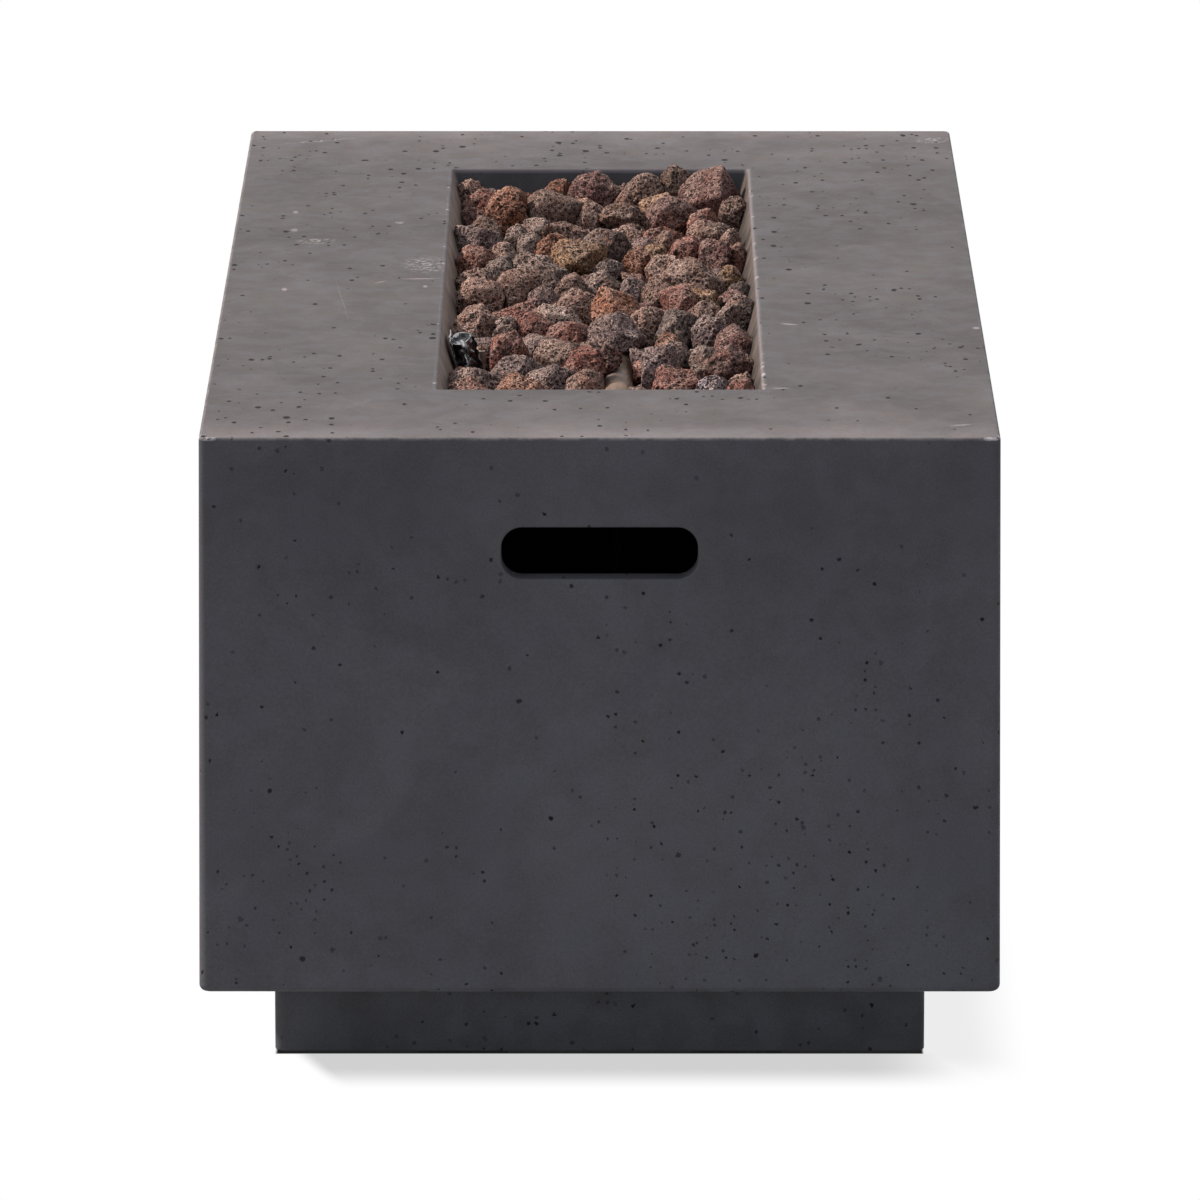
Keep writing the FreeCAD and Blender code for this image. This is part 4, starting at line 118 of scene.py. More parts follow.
# %% Join nodes with short calls
class Net:
    """Adds nodes to one material or node group."""

    def __init__(self, tree):
        self.tree = tree

    def node(self, kind, inputs=(), **settings):
        made = self.tree.nodes.new(kind)
        for name, value in settings.items():
            setattr(made, name, value)
        for key, value in dict(inputs).items():
            self.feed(made.inputs[key], value)
        return made

    def feed(self, socket, value):
        if isinstance(value, bpy.types.NodeSocket):
            self.tree.links.new(value, socket)
        elif hasattr(socket.default_value, "__len__") and len(value) < len(socket.default_value):
            socket.default_value = (*value, 1)
        else:
            socket.default_value = value

    def calc(self, operation, first, second=0.0, clamp=False):
        inputs = {0: first, 1: second}
        return self.node("ShaderNodeMath", inputs, operation=operation, use_clamp=clamp).outputs[0]

    over = partialmethod(calc, "DIVIDE")
    plus = partialmethod(calc, "ADD")
    minus = partialmethod(calc, "SUBTRACT")
    larger = partialmethod(calc, "MAXIMUM")
    size = partialmethod(calc, "ABSOLUTE")

    def times(self, first, second, *more):
        product = self.calc("MULTIPLY", first, second)
        return self.times(product, *more) if more else product

    def blend(self, factor, first, second, mode="MIX"):
        inputs = {0: factor, 6: first, 7: second}
        return self.node("ShaderNodeMix", inputs, data_type="RGBA", blend_type=mode).outputs[2]

    def fade(self, value, low, high, at_low=0.0, at_high=1.0):
        """A soft step: at_low below low, at_high above high."""
        inputs = {0: value, 1: low, 2: high, 3: at_low, 4: at_high}
        kind = "ShaderNodeMapRange"
        return self.node(kind, inputs, interpolation_type="SMOOTHSTEP").outputs[0]

    def noise(self, scale, detail=3.0, roughness=0.55, distortion=0.0, vector=None):
        inputs = {"Vector": vector or self.place, "Scale": scale, "Detail": detail}
        inputs.update({"Roughness": roughness, "Distortion": distortion})
        return self.node("ShaderNodeTexNoise", inputs).outputs[0]

    def cells(self, scale, vector=None):
        """Loose cells: how far a point is from its cell's middle, and three random values."""
        inputs = {"Vector": vector or self.place, "Scale": scale}
        cells = self.node("ShaderNodeTexVoronoi", inputs).outputs
        chance = self.node("ShaderNodeSeparateColor", {0: cells["Color"]}).outputs
        return cells["Distance"], chance

    def ramp(self, factor, stops):
        made = self.node("ShaderNodeValToRGB", {0: factor})
        elements = made.color_ramp.elements
        while len(elements) < len(stops):
            elements.new(0.5)
        for element, (place, colour) in zip(elements, stops):
            element.position = place
            element.color = (*colour, 1)
        return made.outputs[0]

    def stretched(self, x, y, z, vector=None):
        inputs = {0: vector or self.place, 1: (x, y, z)}
        return self.node("ShaderNodeVectorMath", inputs, operation="MULTIPLY").outputs[0]

    @cached_property
    def place(self):
        """Object coordinates, which stay with a piece when it moves."""
        return self.node("ShaderNodeTexCoord").outputs["Object"]

    def torn(self, scale, amount):
        """A place that noise has moved a little, so that round marks turn ragged."""
        inputs = {"Vector": self.place, "Scale": scale}
        wander = self.node("ShaderNodeTexNoise", inputs).outputs["Color"]
        inputs = {0: wander, 1: (amount, amount, amount), 2: self.place}
        return self.node("ShaderNodeVectorMath", inputs, operation="MULTIPLY_ADD").outputs[0]

    def split(self, vector=None):
        return self.node("ShaderNodeSeparateXYZ", {0: vector or self.place}).outputs

    def facing(self):
        """The three parts of the surface's own direction."""
        return self.split(self.node("ShaderNodeNewGeometry").outputs["Normal"])

    def attribute(self, name, part):
        return self.node("ShaderNodeAttribute", (), attribute_name=name).outputs[part]

    def grey(self, level):
        inputs = {0: level, 1: level, 2: level}
        return self.node("ShaderNodeCombineColor", inputs).outputs[0]

    def shade(self, colour, level):
        """A colour made lighter or darker by a level round one."""
        return self.blend(1, colour, self.grey(level), "MULTIPLY")

    def bump(self, height, distance, below=None):
        inputs = {"Height": height, "Distance": distance, "Strength": 1.0}
        if below is not None:
            inputs["Normal"] = below
        return self.node("ShaderNodeBump", inputs).outputs[0]

    def use(self, tree, **inputs):
        """One of the shared effects, with its own values."""
        made = self.node("ShaderNodeGroup", (), node_tree=tree)
        for name, value in {"Vector": self.place, **inputs}.items():
            self.feed(made.inputs[name], value)
        return made.outputs


print("Short calls are ready")


# %% Start a finish or an effect
class Finish(Net):
    """The net of a new material with a Principled shader."""

    def __init__(self, name, **constants):
        self.material = bpy.data.materials.new(name)
        self.material.use_nodes = True
        super().__init__(self.material.node_tree)
        self.shader = self.tree.nodes["Principled BSDF"].inputs
        for label, value in constants.items():
            label = label.replace("_", " ").title().replace("Ior", "IOR")
            self.shader[label].default_value = value

    def cover(self, colour, roughness, height, depth):
        """Feed what nearly every finish varies, and give back the material."""
        self.feed(self.shader["Base Color"], colour)
        self.feed(self.shader["Roughness"], roughness)
        self.feed(self.shader["Normal"], self.bump(height, depth))
        return self.material


def effect(name, inputs, outputs):
    """An empty shader node group; the place that it uses is its Vector input."""
    tree = bpy.data.node_groups.new(name, "ShaderNodeTree")
    for label, start in inputs.items():
        kind = "NodeSocketVector" if start is None else "NodeSocketFloat"
        socket = tree.interface.new_socket(name=label, in_out="INPUT", socket_type=kind)
        if start is not None:
            socket.default_value = start
    for label in outputs:
        tree.interface.new_socket(name=label, in_out="OUTPUT", socket_type="NodeSocketFloat")
    net = Net(tree)
    given = net.node("NodeGroupInput").outputs
    net.place = given["Vector"]
    return net, given, net.node("NodeGroupOutput").inputs


def wear(material, *names):
    """Give CAD nodes a finish through their own material slots."""
    for name in names:
        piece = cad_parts[name]
        if not piece.material_slots:
            piece.data.materials.append(material)
        for slot in piece.material_slots:
            slot.material = material
    print(material.name, "on", ", ".join(names))


# %% [markdown]
# ## Shared effects
# Real surfaces are never one flat colour. Four effects come back in many finishes here:
# soft blotches with grain, round pinholes, fine brushing lines and a film of soot or
# dust. Each is a node group that is made once and used with other values each time.


# %% Blotches and grain
def make_mottle():
    net, given, result = effect(
        "mottle", {"Vector": None, "Blotch": 0.05, "Grain": 0.002}, ("Blotches", "Grains")
    )
    blotches = net.noise(net.over(1, given["Blotch"]), 5, 0.6, 0.4)
    grains = net.noise(net.over(1, given["Grain"]), 3, 0.7)
    net.feed(result["Blotches"], net.fade(blotches, 0.3, 0.7))
    net.feed(result["Grains"], net.fade(grains, 0.25, 0.75))
    return net.tree


MOTTLE = make_mottle()
print("Effect:", MOTTLE.name)


# %% Pinholes
def make_pinholes():
    """Round holes: one in each cell of a loose grid, kept or left out at random."""
    net, given, result = effect(
        "pinholes", {"Vector": None, "Spacing": 0.01, "Radius": 0.001, "Share": 0.3}, ("Holes",)
    )
    distance, chance = net.cells(net.over(1, given["Spacing"]))
    away = net.times(distance, given["Spacing"])
    kept = net.calc("LESS_THAN", chance[0], given["Share"])
    radius = net.times(given["Radius"], net.plus(chance[1], 0.35))
    hole = net.fade(net.over(away, radius), 0.8, 1.15, 1, 0)
    deep = net.fade(chance[2], 0, 1, 0.5, 1)
    net.feed(result["Holes"], net.times(hole, net.times(kept, deep)))
    return net.tree


PINHOLES = make_pinholes()
print("Effect:", PINHOLES.name)


# %% Brushing lines
def make_brushing():
    """Lines for a vector that is squeezed along them, and wider bands of the same kind."""
    net, given, result = effect(
        "brushing", {"Vector": None, "Fineness": 900.0}, ("Lines", "Bands")
    )
    net.feed(result["Lines"], net.noise(given["Fineness"], 2, 0.6))
    coarse = net.times(given["Fineness"], 0.12)
    net.feed(result["Bands"], net.noise(coarse, 3, 0.5))
    return net.tree


BRUSHING = make_brushing()
print("Effect:", BRUSHING.name)


# %% Soot and dust
def make_film():
    """A film that gathers on upward faces, broken up by noise."""
    net, given, result = effect("film", {"Vector": None, "Amount": 0.5}, ("Film",))
    lying = net.fade(net.facing()[2], -0.4, 0.9)
    patches = net.fade(net.noise(60, 4, 0.6), 0.3, 0.7)
    both = net.times(lying, patches)
    net.feed(result["Film"], net.calc("MULTIPLY", both, given["Amount"], clamp=True))
    return net.tree


FILM = make_film()
print("Effect:", FILM.name)

# %% [markdown]
# ## Charcoal concrete
# The body is cast face down, so its top is smooth and its sides show small air holes,
# more of them low down. Pigment never mixes evenly, which leaves soft blotches. All of
# this comes from noise on Object coordinates, so it stays at the same place and scale
# on every face.

# %% Colour the casting
COOL_TINT, WARM_TINT = (0.955, 0.97, 1.01), (1.045, 1.03, 1)


def cast_colour(net, dark, light):
    """Charcoal concrete with soft clouds, blotches and grain."""
    clouds = net.fade(net.noise(5.5, 5, 0.62, 0.8), 0.34, 0.66)
    mottle = net.use(MOTTLE, Blotch=0.026, Grain=0.0018)
    tint = net.blend(mottle["Blotches"], COOL_TINT, WARM_TINT)
    body = net.blend(1, net.blend(clouds, dark, light), tint, "MULTIPLY")
    sand = net.noise(1500, 2, 0.6)
    body = net.shade(body, net.fade(sand, 0.3, 0.7, 0.91, 1.09))
    return net.shade(body, net.fade(mottle["Grains"], 0, 1, 0.9, 1.1)), mottle


# %% Leave air holes
# The spacing of a layer of holes, and its radius on the sides and on the top.
FINE_HOLES = 0.0068, 0.0014, 0.0015
WIDE_HOLES = 0.012, 0.0016, 0.002
TOP_SHARE = 0.2
# Painted shade: the near black that fills the air holes.
PIT_SHADE = (0.008, 0.008, 0.009)


def hole_layer(net, place, top, share, spacing, side_radius, top_radius):
    radius = net.fade(top, 0, 1, side_radius, top_radius)
    return net.use(PINHOLES, Vector=place, Spacing=spacing, Radius=radius, Share=share)["Holes"]


def air_holes(net, low_share, top):
    """Ragged holes in loose clusters: small ones low on the sides, longer ones on the top."""
    ragged = net.torn(560, 0.0028)
    ragged = net.blend(top, ragged, net.stretched(1, 0.6, 1, ragged))
    clusters = net.fade(net.noise(9, 2), 0.38, 0.64, 0.12, 1.6)
    share = net.fade(net.split()[2], 0.12, 0.4, low_share, low_share * 0.36)
    share = net.times(net.fade(top, 0, 1, share, TOP_SHARE), clusters)
    fine = hole_layer(net, ragged, top, share, *FINE_HOLES)
    share = net.times(share, net.fade(top, 0, 1, 0.45, 1.1))
    wide = hole_layer(net, ragged, top, share, *WIDE_HOLES)
    darker = net.fade(top, 0, 1, 1, 2.2)
    return net.calc("MULTIPLY", net.larger(fine, wide), darker, clamp=True)


def cast_concrete(name, dark, light, low_share):
    """The relief and roughness of the casting, with its colour and holes still apart."""
    net = Finish(name, specular_ior_level=0.3)
    top = net.fade(net.facing()[2], 0.5, 0.9)
    body, mottle = cast_colour(net, dark, light)
    holes = air_holes(net, low_share, top)
    dents = net.bump(net.noise(26, 3, 0.5), 0.0004)
    height = net.minus(net.times(mottle["Grains"], 0.05), holes)
    smooth = net.fade(mottle["Blotches"], 0, 1, 0.6, 0.76)
    net.feed(net.shader["Roughness"], net.larger(smooth, holes))
    net.feed(net.shader["Normal"], net.bump(height, 0.001, dents))
    return net, body, holes


def pitted(net, body, holes):
    """The finished concrete, with painted shade in its holes."""
    net.feed(net.shader["Base Color"], net.blend(holes, body, PIT_SHADE))
    return net.material


# %% Paint shade on the plinth's foot
PLINTH_DARK, PLINTH_LIGHT = (0.064, 0.066, 0.076), (0.082, 0.084, 0.096)


def make_plinth_concrete():
    """The same concrete, with painted shade that darkens it towards the floor."""
    net, body, holes = cast_concrete("plinth_concrete", PLINTH_DARK, PLINTH_LIGHT, 0.14)
    height = net.split()[2]
    # Painted shade: the concrete gets darker towards the floor.
    body = net.shade(body, net.fade(height, 0.002, 0.045, 0.7, 1))
    return pitted(net, body, holes)


wear(make_plinth_concrete(), "plinth")

# %% [markdown]
# The body's casting has more to show than the plinth: walls in the opening that heat has
# turned beige, with painted light and shade on them, a worn rim and worn edges that also
# carry a painted highlight, a paler band along its ends, and scuffs on its top where things
# were set down. Each is a mask worked out from where a point lies, mixed over the plain
# concrete.


# %% Draw a scuff
def make_scuff():
    """A mark at one place: a stretched spot, torn by noise and broken into specks."""
    labels = {"Vector": None, "Length": 0.02, "Width": 0.002, "Specks": 0.0}
    net, given, result = effect("scuff", labels, ("Mask",))
    place = net.split()
    along = net.calc("POWER", net.over(place[0], given["Length"]), 2)
    across = net.calc("POWER", net.over(place[1], given["Width"]), 2)
    torn = net.times(net.noise(420, 4, 0.7), 1.6)
    whole = net.plus(net.plus(along, across), torn)
    specks = net.fade(net.noise(230, 3, 0.6), 0.5, 0.6)
    kept = net.larger(specks, net.minus(1, given["Specks"]))
    net.feed(result["Mask"], net.times(net.fade(whole, 0.75, 1.7, 1, 0), kept))
    return net.tree


SCUFF = make_scuff()
# Each scuff's place on the top, its turn in degrees, its half length and half width, and
# how far it is broken into specks.
SCUFFS = [
    (-0.142, 0.036, 4, 0.026, 0.046, 1),
    (-0.146, -0.022, 4, 0.02, 0.003, 0.3),
    (-0.236, 0.137, 10, 0.022, 0.018, 1),
    (-0.256, -0.066, 0, 0.003, 0.008, 0),
    (-0.142, -0.054, 0, 0.0024, 0.006, 0),
    (-0.256, 0.262, 0, 0.003, 0.008, 0.3),
    (-0.255, 0.184, 0, 0.004, 0.009, 0.5),
    (-0.168, 0.216, 0, 0.005, 0.007, 0.6),
    (-0.179, -0.036, 48, 0.01, 0.0012, 0),
    (-0.208, -0.11, 95, 0.12, 0.0006, 0.9),
    (0.151, -0.206, -20, 0.01, 0.003, 0),
    (0.14, -0.453, 0, 0.01, 0.003, 0.3),
    (0.3, -0.221, 0, 0.004, 0.006, 0),
    (0.276, -0.589, 20, 0.012, 0.003, 0.3),
    (0.289, 0.59, 30, 0.022, 0.018, 1),
    (-0.18, -0.5, 60, 0.022, 0.0012, 1),
    (-0.245, 0.585, 24, 0.055, 0.0045, 0.9),
]
print(len(SCUFFS), "scuffs")


def scuff_marks(net):
    marks = 0
    for mark_x, mark_y, turn, length, width, specks in SCUFFS:
        spot = {"Vector": net.place, "Location": (mark_x, mark_y, 0)}
        spot["Rotation"] = (0, 0, math.radians(turn))
        centred = net.node("ShaderNodeMapping", spot, vector_type="TEXTURE").outputs[0]
        sizes = {"Length": length, "Width": width, "Specks": specks}
        marks = net.larger(net.use(SCUFF, Vector=centred, **sizes)["Mask"], marks)
    return marks


# %% Find the top, the edges and the opening
RIM_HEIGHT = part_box("concrete_body")[1].z
TOP_HALF_X, TOP_HALF_Y = 0.305, 0.635
OPENING_HALF_X, OPENING_HALF_Y = 0.127, 0.457
RIM_START, RIM_END = -0.001, 0.0035
WALL_FOOT, WALL_SOFTNESS = 0.44, 0.007
EDGE_WEAR = 0.0028


def within(net, distance, half):
    """One inside the opening, and zero past its rounded rim."""
    return net.fade(distance, half + RIM_START, half + RIM_END, 1, 0)


def casting_masks(net):
    """Where on the casting a point lies."""
    x, y, z = net.split()
    across, along = net.size(x), net.size(y)
    in_y = within(net, along, OPENING_HALF_Y)
    in_opening = net.times(within(net, across, OPENING_HALF_X), in_y)
    return SimpleNamespace(
        x=x,
        z=z,
        across=across,
        along=along,
        in_y=in_y,
        inside=net.times(in_opening, net.fade(z, WALL_FOOT, WALL_FOOT + WALL_SOFTNESS)),
        top=net.fade(z, RIM_HEIGHT - 0.001, RIM_HEIGHT - 0.0002),
    )


# %% Tone the faces, heat the walls and paint light and shade on them
PALE_START, PALE_END = 0.45, 0.53
PALEST_START, PALEST_END = 0.575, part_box("concrete_body")[1].y - 0.004
TOP_WARM, TOP_WARMER = (0.975, 0.917, 0.843), (1, 0.915, 0.83)
BEIGE_DARK, BEIGE_LIGHT = (0.17, 0.131, 0.112), (0.25, 0.2, 0.172)
WALL_SHADE_TOP, WALL_SHADE_WAVES = 0.479, 0.017
LEFT, RIGHT = -0.1, 0.1


def tone_faces(net, at, body):
    """A warm, stained top with paler ends, and sides that darken towards the rim."""
    stains = net.noise(14, 5, 0.65, vector=net.stretched(1, 0.6, 1))
    uneven = net.fade(stains, 0.3, 0.7, 0.82, 1.15)
    band = net.fade(at.along, PALE_START, PALE_END, 0.98, 1.2)
    paler = net.times(band, net.fade(at.along, PALEST_START, PALEST_END, 1, 1.44))
    warm = net.blend(net.fade(paler, 1, 1.4), TOP_WARM, TOP_WARMER)
    body = net.blend(at.top, body, net.blend(1, body, warm, "MULTIPLY"))
    side_tone = net.fade(at.z, 0.25, 0.48, 1, 0.82)
    return net.shade(body, net.fade(at.top, 0, 1, side_tone, net.times(uneven, paler)))


def heat_walls(net, at, body):
    """Long walls that heat turned beige, with painted light and shade: darker low down and on the
    right in streaked bands, lighter high on the left; the end walls get painted shade.
    """
    side_wall = net.fade(net.size(net.facing()[0]), 0.4, 0.8)
    heat = net.fade(net.noise(30, 4, 0.6), 0.3, 0.7)
    beige = net.blend(heat, BEIGE_DARK, BEIGE_LIGHT)
    # Painted shadow: streaked bands that stand for the stones' shadows on the walls.
    shade_streaks = net.noise(55, 4, 0.65, vector=net.stretched(1, 1, 0.25))
    height = net.plus(at.z, net.fade(shade_streaks, 0.25, 0.75, -WALL_SHADE_WAVES, WALL_SHADE_WAVES))
    # Painted light and shade: darker low down and on the right, lighter high on the left wall.
    painted_shade_low = net.fade(at.x, LEFT, RIGHT, 0.8, 0.16)
    painted_light_high = net.fade(at.x, LEFT, RIGHT, 1.35, 0.46)
    wall_light_and_shade = net.fade(height, WALL_SHADE_TOP, RIM_HEIGHT, painted_shade_low, painted_light_high)
    # Painted shade darkens the end walls to two thirds of the body's tone.
    walls = net.blend(side_wall, net.shade(body, 0.66), net.shade(beige, wall_light_and_shade))
    return net.blend(at.inside, body, walls)


# %% Wear the edges, paint their highlight and finish the body
BODY_DARK, BODY_LIGHT = (0.065, 0.066, 0.077), (0.081, 0.0825, 0.0945)
# The rim's and the edges' paler colours are wear and also a painted highlight.
RIM_WEAR_AND_HIGHLIGHT, EDGE_WEAR_AND_HIGHLIGHT, SCUFFED = (0.17, 0.16, 0.175), (0.19, 0.18, 0.18), (0.36, 0.34, 0.34)
CORNER_CHIPPED, RIM_CHIPPED = (0.48, 0.47, 0.48), (0.34, 0.32, 0.31)


def worn_spots(net, at):
    """A mask and a colour for each kind of worn place, the lowest layer first; the rim and edge
    colours are wear and a painted highlight.
    """
    rim = net.times(at.inside, net.fade(at.z, RIM_HEIGHT - 0.0045, RIM_HEIGHT - 0.002))
    past_side = net.minus(at.across, TOP_HALF_X - EDGE_WEAR)
    past_end = net.minus(at.along, TOP_HALF_Y - EDGE_WEAR)
    edge = net.fade(net.larger(past_side, past_end), 0, EDGE_WEAR * 0.6)
    edge = net.times(edge, net.fade(at.z, RIM_HEIGHT - 0.003, RIM_HEIGHT - 0.0015))
    rubbed = net.fade(net.noise(70, 4, 0.7), 0.36, 0.62, 0.05, 0.6)
    corner = net.fade(net.calc("MINIMUM", past_side, past_end), -0.014, -0.004)
    broken = net.fade(net.noise(190, 3, 0.7), 0.46, 0.54)
    rim_chips = net.fade(net.noise(52, 3, 0.7), 0.6, 0.66)
    past_wall = net.fade(at.across, OPENING_HALF_X + RIM_START, OPENING_HALF_X)
    rim_end = OPENING_HALF_X + RIM_END
    near_rim = net.times(past_wall, net.fade(at.across, rim_end - 0.0015, rim_end, 1, 0))
    return [
        (net.times(rim, 0.7), RIM_WEAR_AND_HIGHLIGHT),
        (net.times(scuff_marks(net), at.top, 0.62), SCUFFED),
        (net.times(edge, rubbed), EDGE_WEAR_AND_HIGHLIGHT),
        (net.times(edge, corner, broken, 0.85), CORNER_CHIPPED),
        (net.times(rim_chips, near_rim, at.in_y, 0.8), RIM_CHIPPED),
    ]


def make_body_concrete():
    net, body, holes = cast_concrete("body_concrete", BODY_DARK, BODY_LIGHT, 0.34)
    at = casting_masks(net)
    body = heat_walls(net, at, tone_faces(net, at, body))
    for mask, colour in worn_spots(net, at):
        body = net.blend(mask, body, colour)
    return pitted(net, body, holes)


wear(make_body_concrete(), "concrete_body")

# %% [markdown]
# ## Metals
# Every metal starts as a full Metallic shader whose colour and roughness vary a little.
# Zinc on sheet grows in flat crystals, which cell noise draws well. Brushed steel gets
# lines along its length, and brass a tarnish on its upward faces.

# %% Galvanized sheet
CRYSTALS_A_METRE = 85
CRYSTAL_TONES = [(0, (0.36, 0.37, 0.38)), (0.5, (0.48, 0.49, 0.5)), (1, (0.6, 0.61, 0.62))]


def make_galvanized():
    net = Finish("galvanized", metallic=1)
    tone = net.cells(CRYSTALS_A_METRE)[1][0]
    soot = net.use(FILM, Amount=0.35)["Film"]
    colour = net.blend(soot, net.ramp(tone, CRYSTAL_TONES), (0.1, 0.085, 0.075))
    roughness = net.fade(tone, 0, 1, 0.32, 0.55)
    return net.cover(colour, roughness, net.noise(300, 3), 0.0001)


wear(make_galvanized(), "burner_pan", "control_recess", "burner_saddles")

# %% Brushed and drawn steel
BRUSHED_DEPTH = 0.00006


def make_brushed(name, dark, light, stretch, fineness, rough):
    net = Finish(name, metallic=1)
    lines = net.use(BRUSHING, Vector=net.stretched(*stretch), Fineness=fineness)
    both = net.plus(net.times(lines["Lines"], 0.6), net.times(lines["Bands"], 0.4))
    colour = net.blend(net.fade(both, 0.3, 0.7), dark, light)
    roughness = net.fade(both, 0.3, 0.7, rough, rough + 0.16)
    return net.cover(colour, roughness, lines["Lines"], BRUSHED_DEPTH)


panel_steel = make_brushed(
    "panel_steel", (0.42, 0.42, 0.41), (0.62, 0.62, 0.6), (1, 0.04, 1), 2600, 0.24
)
knob_metal = make_brushed(
    "knob_metal", (0.5, 0.5, 0.51), (0.68, 0.68, 0.69), (0.05, 1, 1), 1800, 0.22
)
drawn_steel = make_brushed(
    "drawn_steel", (0.44, 0.44, 0.43), (0.6, 0.59, 0.57), (1, 1, 1), 700, 0.3
)
wear(panel_steel, "control_panel")
wear(knob_metal, "control_knob")
wear(drawn_steel, "valve_pusher", "valve_stem", "spark_electrode")

# %% [markdown]
# A groove in the knob's face shows where it points. The black paint in it is a mask of
# four soft steps in Object coordinates, so it turns with the knob.

# %% Paint the knob's pointer
POINTER_PAINT = (0.012, 0.012, 0.013)
KNOB_LOW, KNOB_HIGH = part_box("control_knob")
KNOB_MIDDLE = (KNOB_LOW + KNOB_HIGH) / 2


def paint_pointer(material):
    net = Net(material.node_tree)
    shader = material.node_tree.nodes["Principled BSDF"].inputs
    x, y, z = net.split()
    aside = net.size(net.minus(y, KNOB_MIDDLE.y))
    line = net.times(
        net.fade(aside, 0.0008, 0.001, 1, 0),
        net.fade(z, KNOB_MIDDLE.z + 0.002, KNOB_MIDDLE.z + 0.0022),
        net.fade(x, KNOB_LOW.x + 0.0002, KNOB_LOW.x + 0.0003),
        net.fade(x, KNOB_LOW.x + 0.0012, KNOB_LOW.x + 0.0014, 1, 0),
    )
    bare = shader["Base Color"].links[0].from_socket
    net.feed(shader["Base Color"], net.blend(line, bare, POINTER_PAINT))
    net.feed(shader["Metallic"], net.minus(1, line))


paint_pointer(knob_metal)
print("Pointer painted on", knob_metal.name)

# %% Burner tube with heat colours
CLEAN_END_Y, SOOTED_TONE = -0.262, 0.26
HEAT_TINTS = [
    (0.34, (0.34, 0.26, 0.19)),
    (0.5, (0.25, 0.165, 0.11)),
    (0.6, (0.15, 0.1, 0.09)),
    (0.7, (0.11, 0.11, 0.14)),
]


def make_burner_steel():
    """Stainless steel that flames have tinted straw, brown, plum and blue round its ports."""
    net = Finish("burner_steel", metallic=1)
    lines = net.use(BRUSHING, Vector=net.stretched(1, 0.05, 1), Fineness=1500)
    heat = net.noise(28, 4, 0.6, vector=net.stretched(1, 0.5, 1))
    tint = net.ramp(heat, HEAT_TINTS)
    soot = net.use(FILM, Amount=0.45)["Film"]
    colour = net.blend(net.fade(lines["Bands"], 0.3, 0.7, 0.1, 0.4), tint, (0.38, 0.32, 0.26))
    y = net.split()[1]
    colour = net.shade(colour, net.fade(y, CLEAN_END_Y, CLEAN_END_Y + 0.03, 1, SOOTED_TONE))
    colour = net.blend(soot, colour, (0.07, 0.052, 0.042))
    roughness = net.fade(lines["Lines"], 0.3, 0.7, 0.52, 0.68)
    return net.cover(colour, roughness, lines["Lines"], BRUSHED_DEPTH)


wear(make_burner_steel(), "burner_tube", "burner_end_caps")

# %% [markdown]
# Many small pieces need only two close tones in blotches, with grain in their roughness
# and relief. Plated and coated ones also get a film of tarnish or dust on upward faces.


# %% Mix two close tones
def make_speckled(name, tones, roughness, sizes, depth, film=None, **constants):
    """A finish from its tones, roughness limits, and blotch and grain sizes."""
    net = Finish(name, **constants)
    mottle = net.use(MOTTLE, Blotch=sizes[0], Grain=sizes[1])
    colour = net.blend(mottle["Blotches"], *tones)
    if film:
        amount, stain = film
        colour = net.blend(net.use(FILM, Amount=amount)["Film"], colour, stain)
    varied = net.fade(mottle["Grains"], 0, 1, *roughness)
    return net.cover(colour, varied, mottle["Grains"], depth)


# %% Plated screws and brass fittings
def make_plated(name, dark, light, stain, rough, amount):
    roughness, film = (rough, rough + 0.2), (amount, stain)
    sizes = (0.006, 0.0007)
    return make_speckled(name, (dark, light), roughness, sizes, 0.00004, film, metallic=1)


zinc_plate = make_plated(
    "zinc_plate", (0.5, 0.5, 0.46), (0.66, 0.66, 0.64), (0.2, 0.19, 0.17), 0.28, 0.4
)
brass = make_plated("brass", (0.52, 0.36, 0.13), (0.72, 0.54, 0.25), (0.17, 0.11, 0.06), 0.26, 0.6)
wear(zinc_plate, "frame_screws", "plinth_bolts", "pan_screws", "recess_screws", "panel_screws",
     "saddle_screws", "saddle_nuts", "guard_screw", "guard_nut", "pan_locknut")
wear(brass, "gas_valve", "valve_nut", "gas_inlet_fitting", "gas_orifice", "frame_screw_inserts",
     "plinth_bolt_inserts", "pan_screw_inserts", "recess_screw_inserts")

# %% Cast iron and painted steel
DUST = 0.35, (0.11, 0.1, 0.09)


def make_coated(name, dark, light, rough, grain, depth, coat):
    roughness, sizes = (rough, rough + 0.14), (0.02, grain)
    paint = {"coat_weight": coat, "coat_roughness": 0.08}
    return make_speckled(name, (dark, light), roughness, sizes, depth, DUST, **paint)


COATED = {
    "cast_iron": ((0.05, 0.048, 0.046), (0.085, 0.08, 0.075), 0.55, 0.0011, 0.0003, 0),
    "frame_paint": ((0.018, 0.018, 0.019), (0.03, 0.03, 0.032), 0.38, 0.0016, 0.00012, 0.2),
    "aged_tube": ((0.11, 0.105, 0.095), (0.17, 0.16, 0.145), 0.62, 0.0014, 0.0001, 0),
}
for name, node in zip(COATED, ("air_mixer", "base_frame", "gas_tube")):
    wear(make_coated(name, *COATED[name]), node)

# %% [markdown]
# ## Plastics, rubber and ceramic
# These small pieces sit in the control recess and under the table. A faint moulded
# texture and a varied roughness are enough to tell plastic from rubber.


# %% Small moulded pieces
def make_moulded(name, dark, light, rough, grain, depth, specular=0.5):
    roughness, sizes = (rough, rough + 0.12), (0.012, grain)
    tones = dark, light
    return make_speckled(name, tones, roughness, sizes, depth, specular_ior_level=specular)


